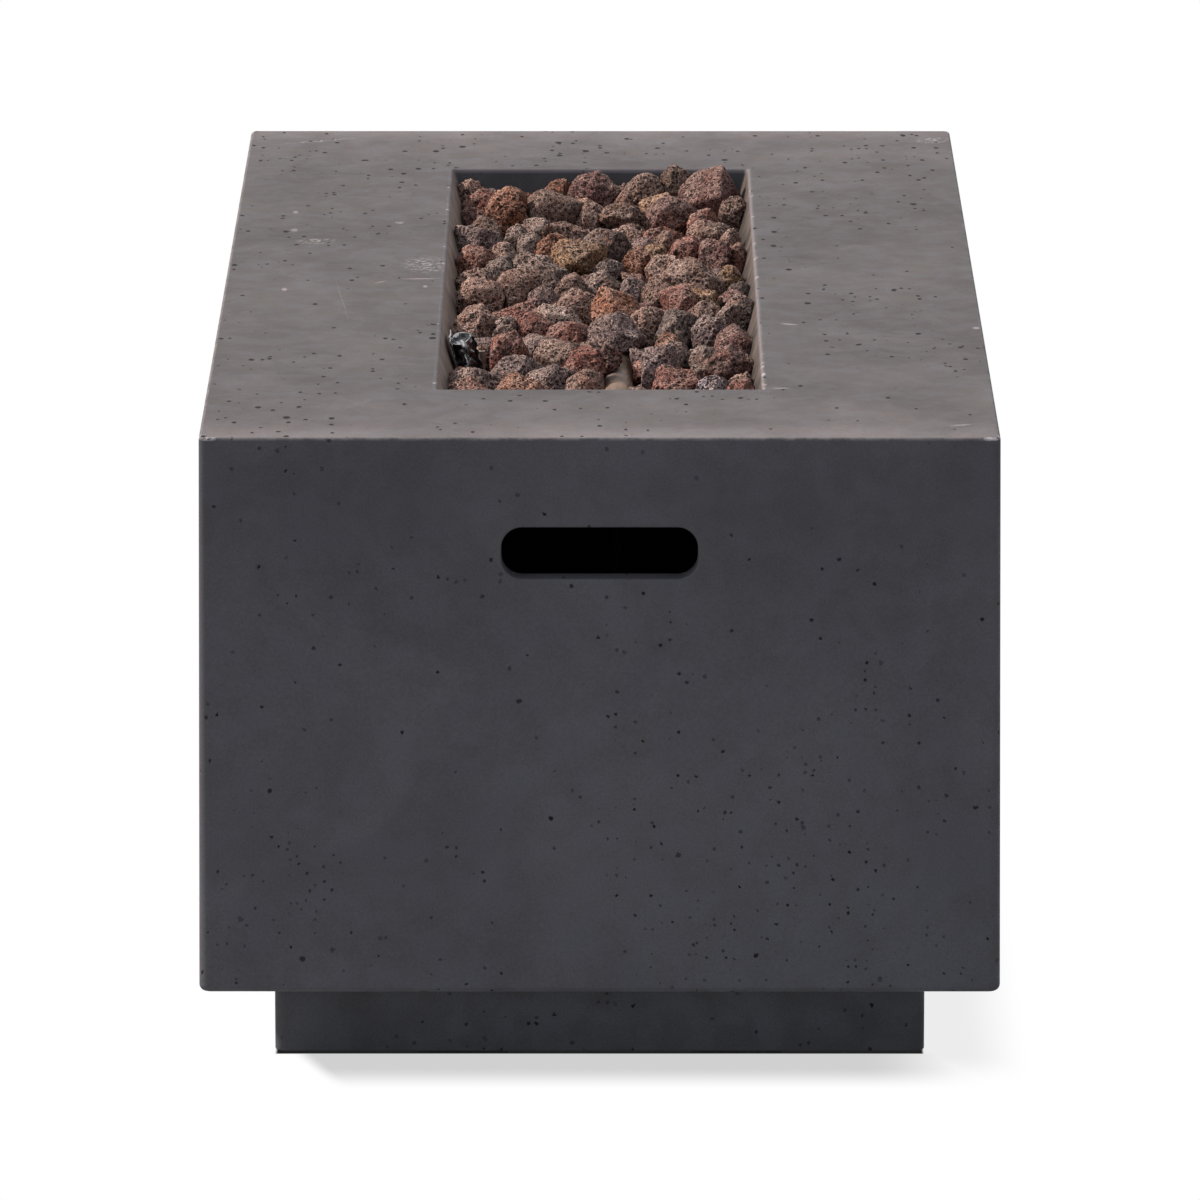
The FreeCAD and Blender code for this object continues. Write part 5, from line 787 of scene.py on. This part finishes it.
MOULDED = {
    "black_plastic": ((0.014, 0.014, 0.015), (0.022, 0.022, 0.023), 0.34, 0.0007, 0.00008),
    "rubber": ((0.016, 0.016, 0.016), (0.03, 0.029, 0.028), 0.72, 0.0012, 0.00015, 0.3),
    "ceramic": ((0.13, 0.1, 0.085), (0.3, 0.25, 0.21), 0.45, 0.0012, 0.00005),
    "lead_sleeve": ((0.14, 0.02, 0.014), (0.2, 0.032, 0.022), 0.42, 0.001, 0.00006),
}
moulded = {name: make_moulded(name, *look) for name, look in MOULDED.items()}
wear(moulded["black_plastic"], "igniter_body", "igniter_nut")
wear(moulded["rubber"], "foot_pads")
wear(moulded["ceramic"], "electrode_ceramic")
wear(moulded["lead_sleeve"], "igniter_lead")

# %% Button, probe and battery
TERMINAL_END = 0.012


def make_battery_wrap():
    """A shrink sleeve in two plain colours."""
    net = Finish("battery_wrap", coat_weight=0.4, coat_roughness=0.1)
    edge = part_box("battery")[0].x + TERMINAL_END
    band = net.fade(net.split()[0], edge, edge + 0.0002)
    net.feed(net.shader["Base Color"], net.blend(band, (0.42, 0.2, 0.08), (0.03, 0.035, 0.045)))
    net.feed(net.shader["Roughness"], net.fade(net.noise(400), 0.3, 0.7, 0.22, 0.34))
    return net.material


chrome = make_plated(
    "chrome", (0.62, 0.62, 0.63), (0.72, 0.72, 0.73), (0.4, 0.4, 0.4), 0.08, 0.1
)
copper = make_plated(
    "copper", (0.16, 0.075, 0.045), (0.26, 0.13, 0.08), (0.07, 0.045, 0.035), 0.48, 0.6
)
wear(chrome, "igniter_button")
wear(copper, "thermocouple", "thermocouple_lead")
wear(make_battery_wrap(), "battery")

# %% [markdown]
# ## The flame guard
# The curled guard is a thin strip of black enamelled sheet, bent by hand, so it is full of
# small creases and is bare and bright inside its roll. The CAD guard has the right roll
# and folds but is too perfect, so a copy of its mesh gets more triangles and is creased
# with noise. Both sides of the sheet move together, which keeps its thickness.


# %% Enamel the guard
def make_enamel():
    net = Finish("black_enamel", coat_weight=1, coat_roughness=0.05)
    bare = net.attribute("bare", "Fac")
    mottle = net.use(MOTTLE, Blotch=0.01, Grain=0.0012)
    black = net.blend(mottle["Grains"], (0.008, 0.008, 0.009), (0.016, 0.016, 0.017))
    zinc = net.blend(mottle["Blotches"], (0.26, 0.27, 0.28), (0.66, 0.67, 0.69))
    net.feed(net.shader["Metallic"], net.times(bare, 0.8))
    roughness = net.fade(mottle["Blotches"], 0, 1, 0.14, 0.3)
    creases = net.noise(260, 2, 0.5, 0.6, net.stretched(1, 1, 0.5))
    return net.cover(net.blend(bare, black, zinc), roughness, creases, 0.0009)


enamel = make_enamel()
wear(enamel, "flame_guard")

# %% Crease the guard
GUARD_LEAN = math.radians(15)
ROLL_TOP = Vector((-0.1121, -0.218, 0.4941))
ROLL_AXIS = Vector((-math.sin(GUARD_LEAN), 0, math.cos(GUARD_LEAN)))
ROLL_RADIUS, ROLL_HEIGHT = 0.008, 0.038
SHEET_INNER = 0.0004
LONGEST_EDGE, CUT_ROUNDS = 0.0016, 6
CREASE_SIZE, CREASE_DEPTH = 0.0085, 0.0042
FINE_CREASES, FINE_SHARE = 2.7, 0.2
LOOSE_BELOW, LOOSE_LENGTH = 0.012, 0.03
FOOT_TAPER = -0.22
SHARP_ANGLE = math.radians(35)


def limited(value):
    return min(max(value, 0), 1)


def from_roll(spot):
    """The way out from the roll's axis, and how far up the roll a point is."""
    up = (spot - ROLL_TOP).dot(ROLL_AXIS)
    return spot - ROLL_TOP - ROLL_AXIS * up, up + ROLL_HEIGHT


def crease_corner(corner, bare):
    """Move one corner of the sheet in or out, and mark it bare inside the roll."""
    out, up = from_roll(corner.co)
    corner[bare] = float(out.length < ROLL_RADIUS - SHEET_INNER and up > 0)
    loose = limited((up + LOOSE_BELOW) / LOOSE_LENGTH)
    crease = abs(noise.noise(corner.co / CREASE_SIZE)) * CREASE_DEPTH - CREASE_DEPTH * FINE_SHARE
    crease += noise.noise(corner.co / CREASE_SIZE * FINE_CREASES) * CREASE_DEPTH * FINE_SHARE
    taper = FOOT_TAPER * (1 - limited(up / ROLL_HEIGHT)) * out.length
    corner.co += out.normalized() * (crease + taper) * loose


def add_creased_guard():
    bm = bmesh.new()
    bm.from_mesh(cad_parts["flame_guard"].data)
    bmesh.ops.remove_doubles(bm, verts=bm.verts, dist=1e-5)
    for _ in range(CUT_ROUNDS):
        long = [edge for edge in bm.edges if edge.calc_length() > LONGEST_EDGE]
        bmesh.ops.subdivide_edges(bm, edges=long, cuts=1)
        bmesh.ops.triangulate(bm, faces=bm.faces[:])
    bare = bm.verts.layers.float.new("bare")
    for corner in bm.verts:
        crease_corner(corner, bare)
    mesh = bpy.data.meshes.new("creased_guard")
    bm.to_mesh(mesh)
    bm.free()
    mesh.shade_smooth()
    mesh.set_sharp_from_angle(angle=SHARP_ANGLE)
    mesh.materials.clear()
    mesh.materials.append(enamel)
    piece = add_object("creased_guard", mesh)
    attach(piece, "root")
    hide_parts("flame_guard")
    print("Guard", len(mesh.polygons), "triangles")


add_creased_guard()

# %% [markdown]
# ## Lava rock
# Each CAD stone is a block of flat faces that keeps its place among its neighbours. Real
# lava rock is rounded and lumpy, with burst gas bubbles all over. So every stone is made
# again from a ball of fine triangles. The ball is first drawn onto the block's faces,
# with soft corners, and then lumps, crags and bubbles are pressed inwards. Apart from a
# swelling of 1.6 mm that they start with, no stone is pushed outwards.


# %% Read the CAD stones
def loose_parts(bm):
    """The corners of each separate block of a mesh."""
    seen = set()
    for start in bm.verts:
        if start in seen or not start.link_faces:
            continue
        seen.add(start)
        corners, queue = [], [start]
        while queue:
            corner = queue.pop()
            corners.append(corner)
            for edge in corner.link_edges:
                other = edge.other_vert(corner)
                if other not in seen:
                    seen.add(other)
                    queue.append(other)
        yield corners


def stones_in(node):
    """The middle, the face normals and the face distances of each stone of a node."""
    bm = bmesh.new()
    bm.from_mesh(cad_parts[node].data)
    bmesh.ops.remove_doubles(bm, verts=bm.verts, dist=1e-5)
    bm.normal_update()
    found = []
    for corners in loose_parts(bm):
        middle = sum((corner.co for corner in corners), Vector()) / len(corners)
        planes = {}
        for face in {face for corner in corners for face in corner.link_faces}:
            if face.calc_area() > 1e-8:
                away = face.normal.dot(face.verts[0].co - middle)
                planes[tuple(round(part, 2) for part in face.normal)] = (*face.normal, away)
        found.append((middle, np.array(list(planes.values()))))
    bm.free()
    return sorted(found, key=lambda stone: stone[0].y)


STONES = {name: stones_in(name) for name in ("lava_rocks_upper", "lava_rocks_lower")}
print({name: len(stones) for name, stones in STONES.items()}, "stones")


# %% Shape one stone
def ball(levels, cuts):
    """Directions and triangles of an even ball of fine triangles."""
    bm = bmesh.new()
    bmesh.ops.create_icosphere(bm, subdivisions=levels, radius=1)
    bmesh.ops.subdivide_edges(bm, edges=bm.edges[:], cuts=cuts, use_grid_fill=True)
    bmesh.ops.triangulate(bm, faces=bm.faces[:])
    spots = np.array([corner.co[:] for corner in bm.verts])
    faces = np.array([[corner.index for corner in face.verts] for face in bm.faces])
    bm.free()
    return spots / np.linalg.norm(spots, axis=1)[:, None], faces


SWELL = 0.0016
CORNER_SHARPNESS = 30
LUMP_SIZE, LUMP_DEPTH = 0.02, 0.0018
CRAG_SIZE, CRAG_DEPTH = 0.008, 0.0017
# The size of the hollows' cells, how far a hollow reaches in its cell, and the level that
# a cell's random value has to pass.
BUBBLES, BUBBLE_DEPTH = (0.0052, 0.5, 0.1), 0.0016
PITS, PIT_DEPTH = (0.0031, 0.52, -0.3), 0.0011
DEEPEST = 0.45


def burst(spot, size, edge, level):
    """How deep a point lies in one of the round hollows that gas bubbles left."""
    (near, *_), (centre, *_) = noise.voronoi(spot / size)
    kept = noise.cell(centre * 7.3) > level
    return max(0, 1 - near / edge) ** 0.7 if kept else 0


def shaped_stone(middle, planes, rays, seed):
    """The points of one stone, and how deep each lies in a bubble or crag."""
    facing = np.maximum(rays @ planes[:, :3].T, 0) / (planes[:, 3] + SWELL)
    reach = (facing ** CORNER_SHARPNESS).sum(1) ** (-1 / CORNER_SHARPNESS)
    shift = Vector((seed * 1.37, seed * 0.71, seed * 2.13))
    roughness = 0.6 + 0.8 * noise.random()
    points, depths = [], []
    for ray, length in zip(rays, reach):
        spot = middle + Vector(ray) * length
        here = spot + shift
        lump = 0.5 - 0.5 * noise.noise(here / LUMP_SIZE)
        crag = min(noise.turbulence(here / CRAG_SIZE, 3, True), 1)
        bubble, pit = burst(here, *BUBBLES), burst(here, *PITS)
        inward = roughness * (lump * LUMP_DEPTH + crag * CRAG_DEPTH)
        inward += roughness * bubble * BUBBLE_DEPTH + pit * PIT_DEPTH
        point = spot - Vector(ray) * min(inward, length * DEEPEST)
        point.z = min(point.z, cad_high.z)
        points.append(point)
        depths.append(min(1, bubble * 0.6 + pit * 0.5 + crag * 0.25))
    return points, depths


# %% [markdown]
# Lava rock is red where its iron has rusted and grey where it has not, and every stone
# in a bed is a little different. Each stone carries a colour of its own in its mesh, and
# the material adds clouds, pores and dust to it, with painted shade in the pores and
# hollows and a painted highlight round the pores. Stones whose colour stands out are
# named by their place, and the rest take one of the common tones at random.

# %% List the stones' tones
# Each tone, and where the stones that stand out with it lie, in millimetres across and
# along the bed.
ROCK_TONES = {
    "grey_beige": ((0.26, 0.212, 0.192), [(-91, 444), (-50, 287), (102, 282), (-70, 245),
        (-58, 226), (-56, 128), (-43, 66), (3, 40), (110, -88), (-76, -142), (61, -237),
        (84, -246), (-47, -323), (-97, -335)]),
    "brown": ((0.21, 0.14, 0.112), [(19, 444), (40, 435), (-40, 361), (113, 347), (20, 337),
        (-97, 289), (-25, 265), (108, 221), (55, 221), (-78, 185), (81, 60), (48, 13),
        (-69, 13), (86, -71), (-30, -242)]),
    "orange_red": ((0.3, 0.125, 0.065), [(-35, 443), (-78, 353), (-39, 213), (31, 128),
        (15, -74), (55, -182), (-58, -368)]),
    "pinkish": ((0.33, 0.22, 0.18), [(-111, 443), (21, 412), (-7, 350), (20, 244), (89, 243),
        (54, 111), (-102, 72), (-23, 35), (-98, -8), (-19, -30), (37, -126), (-101, -129),
        (43, -286), (112, -340), (-11, -352), (9, -382)]),
    "dark_olive": ((0.11, 0.078, 0.058), [(66, 443), (32, 262)]),
    "maroon": ((0.155, 0.072, 0.068), [(-7, 432), (95, 419), (60, 336), (92, 157), (108, -4),
        (108, -194), (6, -246), (103, -281)]),
    "red": ((0.24, 0.085, 0.065), [(-60, 412), (-96, 402), (87, 304), (44, 245), (72, 179),
        (111, 162), (-102, 149), (66, -24), (-53, -134), (-24, -154), (-78, -230), (-11, -278),
        (61, -347), (111, -370), (-104, -371)]),
    "ochre": ((0.3, 0.18, 0.085), [(52, 401), (44, 168), (-20, 144), (107, 78), (86, -11)]),
    "violet_grey": ((0.17, 0.138, 0.142), [(-105, 235), (38, 202), (26, 24), (-46, -9),
        (88, -156), (12, -160), (-50, -191), (21, -276), (-66, -295), (-33, -340)]),
    "dark_grey": ((0.085, 0.083, 0.082), [(4, 192), (-82, 122), (9, 118), (113, 12), (64, -140),
        (32, -368)]),
    "pale": ((0.48, 0.39, 0.34), [(-33, -93)]),
    "violet_white": ((0.36, 0.33, 0.37), [(88, -361)]),
}
COMMON_TONES = ["brown", "pinkish", "red", "maroon", "grey_beige", "orange_red", "violet_grey"]
print(sum(len(places) for _, places in ROCK_TONES.values()), "stones with a tone of their own")


# %% Draw the lava rock's surface
def pore_layer(net, place, spacing, share):
    """Burst bubbles of one size, and a painted highlight on the sharp pale edge round each."""
    distance, chance = net.cells(1 / spacing, place)
    near = net.over(distance, net.fade(chance[0], 0, 1, 0.3, 0.62))
    kept = net.calc("LESS_THAN", chance[1], share)
    rim = net.times(net.fade(near, 0.85, 1.05), net.fade(near, 1.1, 1.5, 1, 0))
    hollow = net.fade(near, 0.6, 1, 1, 0)
    return net.times(hollow, kept), net.times(rim, kept)


def weathered_tone(net):
    """A stone's own colour with darker clouds, rust and dust."""
    tint = net.attribute("tint", "Color")
    darker = net.blend(1, tint, (0.66, 0.58, 0.55), "MULTIPLY")
    clouds = net.noise(55, 5, 0.65, 0.6)
    stone = net.blend(net.fade(clouds, 0.36, 0.6), darker, tint)
    rust = net.fade(net.noise(36, 4, 0.7, 1), 0.54, 0.66, 0, 0.4)
    stone = net.blend(rust, stone, (0.3, 0.125, 0.075))
    dust = net.use(FILM, Amount=0.4)["Film"]
    return net.blend(dust, stone, (0.52, 0.4, 0.34))


def make_lava():
    net = Finish("lava_rock", specular_ior_level=0.25)
    fine = net.noise(900, 3, 0.7)
    stone = net.shade(weathered_tone(net), net.fade(fine, 0.32, 0.68, 0.42, 1.42))
    ragged = net.torn(420, 0.0016)
    wide, wide_rim_highlights = pore_layer(net, ragged, 0.0036, 0.42)
    middle, middle_rim_highlights = pore_layer(net, ragged, 0.0021, 0.82)
    small = pore_layer(net, ragged, 0.0012, 0.85)[0]
    pores, pore_rim_highlights = net.larger(wide, middle), net.larger(wide_rim_highlights, middle_rim_highlights)
    # Painted shade in the small pores, and a painted highlight round the larger pores.
    stone = net.shade(stone, net.fade(small, 0, 1, 1.02, 0.55))
    stone = net.shade(stone, net.fade(pore_rim_highlights, 0, 1, 0.84, 1.5))
    # Painted shade: near black deep in the stone's hollows and pores.
    hollow_shade = net.fade(net.attribute("hollow", "Fac"), 0.35, 1, 0, 0.75)
    deep = net.larger(hollow_shade, net.times(pores, 0.9))
    level = net.minus(net.times(fine, 0.4), pores)
    level = net.minus(level, net.times(small, 0.4))
    colour = net.blend(deep, stone, (0.022, 0.011, 0.009))
    return net.cover(colour, net.fade(fine, 0.3, 0.7, 0.8, 0.98), level, 0.0013)


lava = make_lava()
print("Lava rock has", len(lava.node_tree.nodes), "shader nodes")

# %% Pick a tone for every stone
SHARED_TONE = (0.235, 0.13, 0.108)
OWN_SHARE = 0.78


def pick_tones(stones):
    """One tone a stone: the nearest stone to each listed place takes that place's tone."""
    names = [COMMON_TONES[int(noise.random() * len(COMMON_TONES))] for _ in stones]
    middles = np.array([stone[0][:2] for stone in stones])
    for name, (_, places) in ROCK_TONES.items():
        for x, y in places:
            away = np.hypot(middles[:, 0] - x / 1000, middles[:, 1] - y / 1000)
            names[int(away.argmin())] = name
    own = np.array([ROCK_TONES[name][0] for name in names])
    return own * OWN_SHARE + np.array(SHARED_TONE) * (1 - OWN_SHARE)


# %% [markdown]
# A piece of many stones exports faster than many pieces of one stone, but has to stay
# under a limit of triangles. The stones are joined into a few pieces of many stones each:
# the upper layer is cut into groups of fifteen, and large stones get the finest ball. The
# lower layer hardly shows and takes a coarse one.

# %% Build the stones in a few pieces
COARSE_BALL, PLAIN_BALL, FINE_BALL = ball(3, 1), ball(4, 1), ball(4, 2)
LARGE_STONE = 0.015
DARKEST, TONE_RANGE = 0.82, 0.42
DRAW_SEED = 7


def store(mesh, name, kind, field, values):
    """Give every point of a mesh a value that the material can read."""
    layer = mesh.attributes.new(name, kind, "POINT")
    layer.data.foreach_set(field, np.array(values, dtype=np.float32).ravel())


def build_bed(label, node, balls, most_stones):
    """Stones of one layer, joined into pieces of a size that exports well."""
    noise.seed_set(DRAW_SEED)
    stones = STONES[node]
    tones = pick_tones(stones)
    total = 0
    for first in range(0, len(stones), most_stones):
        points, depths, tints, triangles = [], [], [], []
        for index, (middle, planes) in enumerate(stones[first:first + most_stones], first):
            rays, faces = balls[planes[:, 3].mean() > LARGE_STONE]
            triangles.append(faces + len(points))
            made, hollow = shaped_stone(middle, planes, rays, index)
            varied = tones[index] * (DARKEST + TONE_RANGE * noise.random())
            points += made
            depths += hollow
            tints += [(*varied, 1)] * len(made)
        mesh = bpy.data.meshes.new(f"{label}_{first // most_stones + 1}")
        mesh.from_pydata(points, [], np.concatenate(triangles).tolist())
        mesh.shade_smooth()
        store(mesh, "tint", "FLOAT_COLOR", "color", tints)
        store(mesh, "hollow", "FLOAT", "value", depths)
        mesh.materials.append(lava)
        piece = add_object(mesh.name, mesh)
        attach(piece, "root")
        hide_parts(node)
        total += len(mesh.polygons)
    print(label, len(stones), "stones,", total, "triangles")


build_bed("lava_upper", "lava_rocks_upper", (PLAIN_BALL, FINE_BALL), 15)
build_bed("lava_lower", "lava_rocks_lower", (COARSE_BALL, COARSE_BALL), 80)

# %% [markdown]
# ## The hidden springs
# Two coil springs push the knob and the igniter button back. A coil follows a rule, so
# Geometry Nodes make it: a spiral line, a round profile along it, and a turn to lay it
# along its own axis. Its sizes are named inputs, so one tree makes both springs.


# %% Build the coil tree
def make_coil_tree():
    tree = bpy.data.node_groups.new("coil", "GeometryNodeTree")
    sizes = {"Turns": 6.0, "Radius": 0.006, "Wire": 0.0005, "Length": 0.02}
    for label, start in sizes.items():
        socket = tree.interface.new_socket(
            name=label, in_out="INPUT", socket_type="NodeSocketFloat"
        )
        socket.default_value = start
    tree.interface.new_socket(name="Steel", in_out="INPUT", socket_type="NodeSocketMaterial")
    tree.interface.new_socket(name="Geometry", in_out="OUTPUT", socket_type="NodeSocketGeometry")
    net = Net(tree)
    given = net.node("NodeGroupInput").outputs
    inputs = {"Resolution": 40, "Rotations": given["Turns"], "Height": given["Length"]}
    inputs.update({"Start Radius": given["Radius"], "End Radius": given["Radius"]})
    line = net.node("GeometryNodeCurveSpiral", inputs).outputs[0]
    inputs = {"Resolution": 8, "Radius": given["Wire"]}
    profile = net.node("GeometryNodeCurvePrimitiveCircle", inputs).outputs[0]
    inputs = {"Curve": line, "Profile Curve": profile, "Fill Caps": True}
    tube = net.node("GeometryNodeCurveToMesh", inputs).outputs[0]
    inputs = {"Geometry": tube, "Rotation": (0, math.pi / 2, 0)}
    laid = net.node("GeometryNodeTransform", inputs).outputs[0]
    real = net.node("GeometryNodeRealizeInstances", {0: laid}).outputs[0]
    inputs = {"Geometry": real, "Material": given["Steel"]}
    steel = net.node("GeometryNodeSetMaterial", inputs).outputs[0]
    net.feed(net.node("NodeGroupOutput").inputs[0], steel)
    return tree


COIL = make_coil_tree()
print("Tree:", COIL.name, [item.name for item in COIL.interface.items_tree])


# %% Make both springs
WIRE_RADIUS = 0.0006


def final_mesh(holder):
    """The mesh that an object's modifiers or letters come to."""
    depsgraph = bpy.context.evaluated_depsgraph_get()
    return bpy.data.meshes.new_from_object(holder.evaluated_get(depsgraph), depsgraph=depsgraph)


def add_spring(label, node, turns):
    low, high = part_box(node)
    middle = (low + high) / 2
    length = high.x - low.x
    shell = add_object(label, bpy.data.meshes.new(label))
    coil = shell.modifiers.new("coil", "NODES")
    coil.node_group = COIL
    values = {"Turns": turns, "Wire": WIRE_RADIUS, "Steel": zinc_plate}
    values["Radius"] = (high.z - low.z) / 2 - WIRE_RADIUS
    values["Length"] = length - 2 * WIRE_RADIUS
    for item in COIL.interface.items_tree:
        if item.in_out == "INPUT":
            coil[item.identifier] = values[item.name]
    mesh = final_mesh(shell)
    shell.modifiers.clear()
    shell.data = mesh
    mesh.transform(Matrix.Translation((low.x + WIRE_RADIUS, middle.y, middle.z)))
    mesh.shade_smooth()
    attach(shell, "root")
    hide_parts(node)
    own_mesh(shell)
    print(label, len(mesh.polygons), "faces,", round(length * 1000, 1), "mm long")


add_spring("valve_coil", "valve_spring", 7.0)
add_spring("button_coil", "button_spring", 3.0)

# %% [markdown]
# ## Words on the control panel
# The panel of such a table tells which way to turn the knob. The words are plain ones,
# cut as thin flat letters. Text is made a mesh before it is moved to its place, because
# a finished piece's object has to stay at the origin.

# %% Letter the panel
PANEL_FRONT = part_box("control_panel")[0].x
LETTER_SIZE, LETTER_DEPTH, LETTER_RISE = 0.0085, 0.0001, 0.00015
WORD_REACH = 0.0265
letter_ink = make_moulded(
    "letter_ink", (0.012, 0.012, 0.013), (0.018, 0.018, 0.019), 0.5, 0.0008, 0.00003
)


def facing_out(y, z):
    """A place on the panel, seen from the -X side: text runs towards -Y."""
    x = PANEL_FRONT - LETTER_RISE
    return Matrix(((0, 0, -1, x), (-1, 0, 0, y), (0, 1, 0, z), (0, 0, 0, 1)))


def add_word(word, aside, up):
    label = f"word_{word.lower()}"
    text = bpy.data.curves.new(label, "FONT")
    text.body = word
    text.size = LETTER_SIZE
    text.extrude = LETTER_DEPTH
    text.align_x = "CENTER"
    text.align_y = "CENTER"
    holder = add_object(label, text)
    mesh = final_mesh(holder)
    bpy.data.objects.remove(holder)
    mesh.transform(facing_out(KNOB_MIDDLE.y + aside, KNOB_MIDDLE.z + up))
    mesh.materials.clear()
    mesh.materials.append(letter_ink)
    piece = add_object(label, mesh)
    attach(piece, "root")


add_word("OFF", 0, WORD_REACH)
add_word("HI", WORD_REACH, 0)
add_word("LO", 0, -WORD_REACH)
print("Words stand", round(WORD_REACH * 1000, 1), "mm from the knob's middle")

# %% [markdown]
# ## Floor, sky and lamp
# The photograph has a pure white background. The floor and the sky are white only for
# rays that come from the camera, a reflection or a glass, and light the table at a plain
# level otherwise. One soft sun from the upper left gives the pale top and the dark front.
# The floor can't catch a real shadow while it shows pure white, so its soft shadow is
# drawn from the distance to the plinth.

# %% Lay the floor
FLOOR_HALF, FLOOR_LEVEL = 12.0, -0.0003
# How wide each strip of shadow is, and how dark.
END_SHADOW, SIDE_SHADOW = (0.105, 0.37), (0.085, 0.16)
SHADOW_SLANT = -0.35
CONTACT_DARKNESS = 0.985


def seen_directly(net):
    """One for camera, mirror and glass rays, and zero for the light that fills a scene."""
    rays = net.node("ShaderNodeLightPath").outputs
    seen = net.larger(rays["Is Camera Ray"], rays["Is Glossy Ray"])
    return net.larger(seen, rays["Is Transmission Ray"])


def strip(net, away, width, level):
    """A soft strip that starts at the plinth, stays even and then fades out."""
    starts = net.fade(away, -0.004, 0)
    return net.times(starts, net.fade(away, width * 0.35, width, level, 0))


def floor_darkness(net):
    """The plinth's soft shadow, and the dark line where it meets the floor."""
    place = net.split()
    low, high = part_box("plinth")
    past_end = net.larger(net.minus(low.y, place[1]), net.minus(place[1], high.y))
    right = net.minus(place[0], high.x)
    past_side = net.larger(net.minus(low.x, place[0]), right)
    under = net.plus(place[0], net.times(past_end, SHADOW_SLANT))
    under = net.fade(under, low.x + 0.012, low.x + 0.03)
    under = net.times(under, net.fade(right, -0.05, 0.06, 1, 0))
    at_ends = net.times(strip(net, past_end, *END_SHADOW), under)
    beside = net.fade(past_end, 0, 0.09, 1, 0)
    at_right = net.times(strip(net, right, *SIDE_SHADOW), beside)
    beneath = net.larger(past_end, past_side)
    beneath = net.fade(beneath, -0.002, 0.0006, CONTACT_DARKNESS, 0)
    return net.larger(net.larger(at_ends, at_right), beneath)


def make_floor():
    material = bpy.data.materials.new("floor")
    material.use_nodes = True
    material.node_tree.nodes.clear()
    net = Net(material.node_tree)
    glow = net.grey(net.minus(1, floor_darkness(net)))
    white = net.node("ShaderNodeEmission", {"Color": glow, "Strength": 1.0}).outputs[0]
    grey = net.node("ShaderNodeBsdfDiffuse", {"Color": (0.3, 0.3, 0.3)}).outputs[0]
    mixed = net.node("ShaderNodeMixShader", {0: seen_directly(net), 1: grey, 2: white})
    net.node("ShaderNodeOutputMaterial", {0: mixed.outputs[0]})
    return material


floor_mesh = bpy.data.meshes.new("floor")
corners = [(x * FLOOR_HALF, y * FLOOR_HALF, FLOOR_LEVEL)
           for x, y in ((-1, -1), (1, -1), (1, 1), (-1, 1))]
floor_mesh.from_pydata(corners, [], [(0, 1, 2, 3)])
floor_mesh.materials.append(make_floor())
floor = add_object("floor", floor_mesh)
print("Floor", FLOOR_HALF * 2, "m wide")

# %% Light the scene
FILL_LEVEL, FILL_COLOUR = 0.6, (0.975, 1, 1.085)
SUN_FROM = Vector((-0.8, 0.3, 0.75))
SUN_STRENGTH, SUN_COLOUR = 5.1, (1, 0.85, 0.75)
SUN_WIDTH = math.radians(5)

world = bpy.data.worlds.new("sky")
bpy.context.scene.world = world
world.use_nodes = True
world.node_tree.nodes.clear()
sky = Net(world.node_tree)
from_side = sky.split(sky.node("ShaderNodeTexCoord").outputs["Generated"])[0]
fill_colour = sky.shade(FILL_COLOUR, sky.fade(from_side, -1, 1, 1.4, 0.6))
inputs = {"Color": fill_colour, "Strength": FILL_LEVEL}
fill = sky.node("ShaderNodeBackground", inputs).outputs[0]
white = sky.node("ShaderNodeBackground", {"Color": (1, 1, 1), "Strength": 1.0}).outputs[0]
sky_mix = sky.node("ShaderNodeMixShader", {0: seen_directly(sky), 1: fill, 2: white}).outputs[0]
sky.node("ShaderNodeOutputWorld", {0: sky_mix})

sun_data = bpy.data.lights.new("sun", "SUN")
sun_data.energy = SUN_STRENGTH
sun_data.color = SUN_COLOUR
sun_data.angle = SUN_WIDTH
sun = add_object("sun", sun_data)
sun.rotation_euler = SUN_FROM.to_track_quat("Z", "Y").to_euler()
print("Sun", SUN_STRENGTH, "W/m2; fill", FILL_LEVEL)
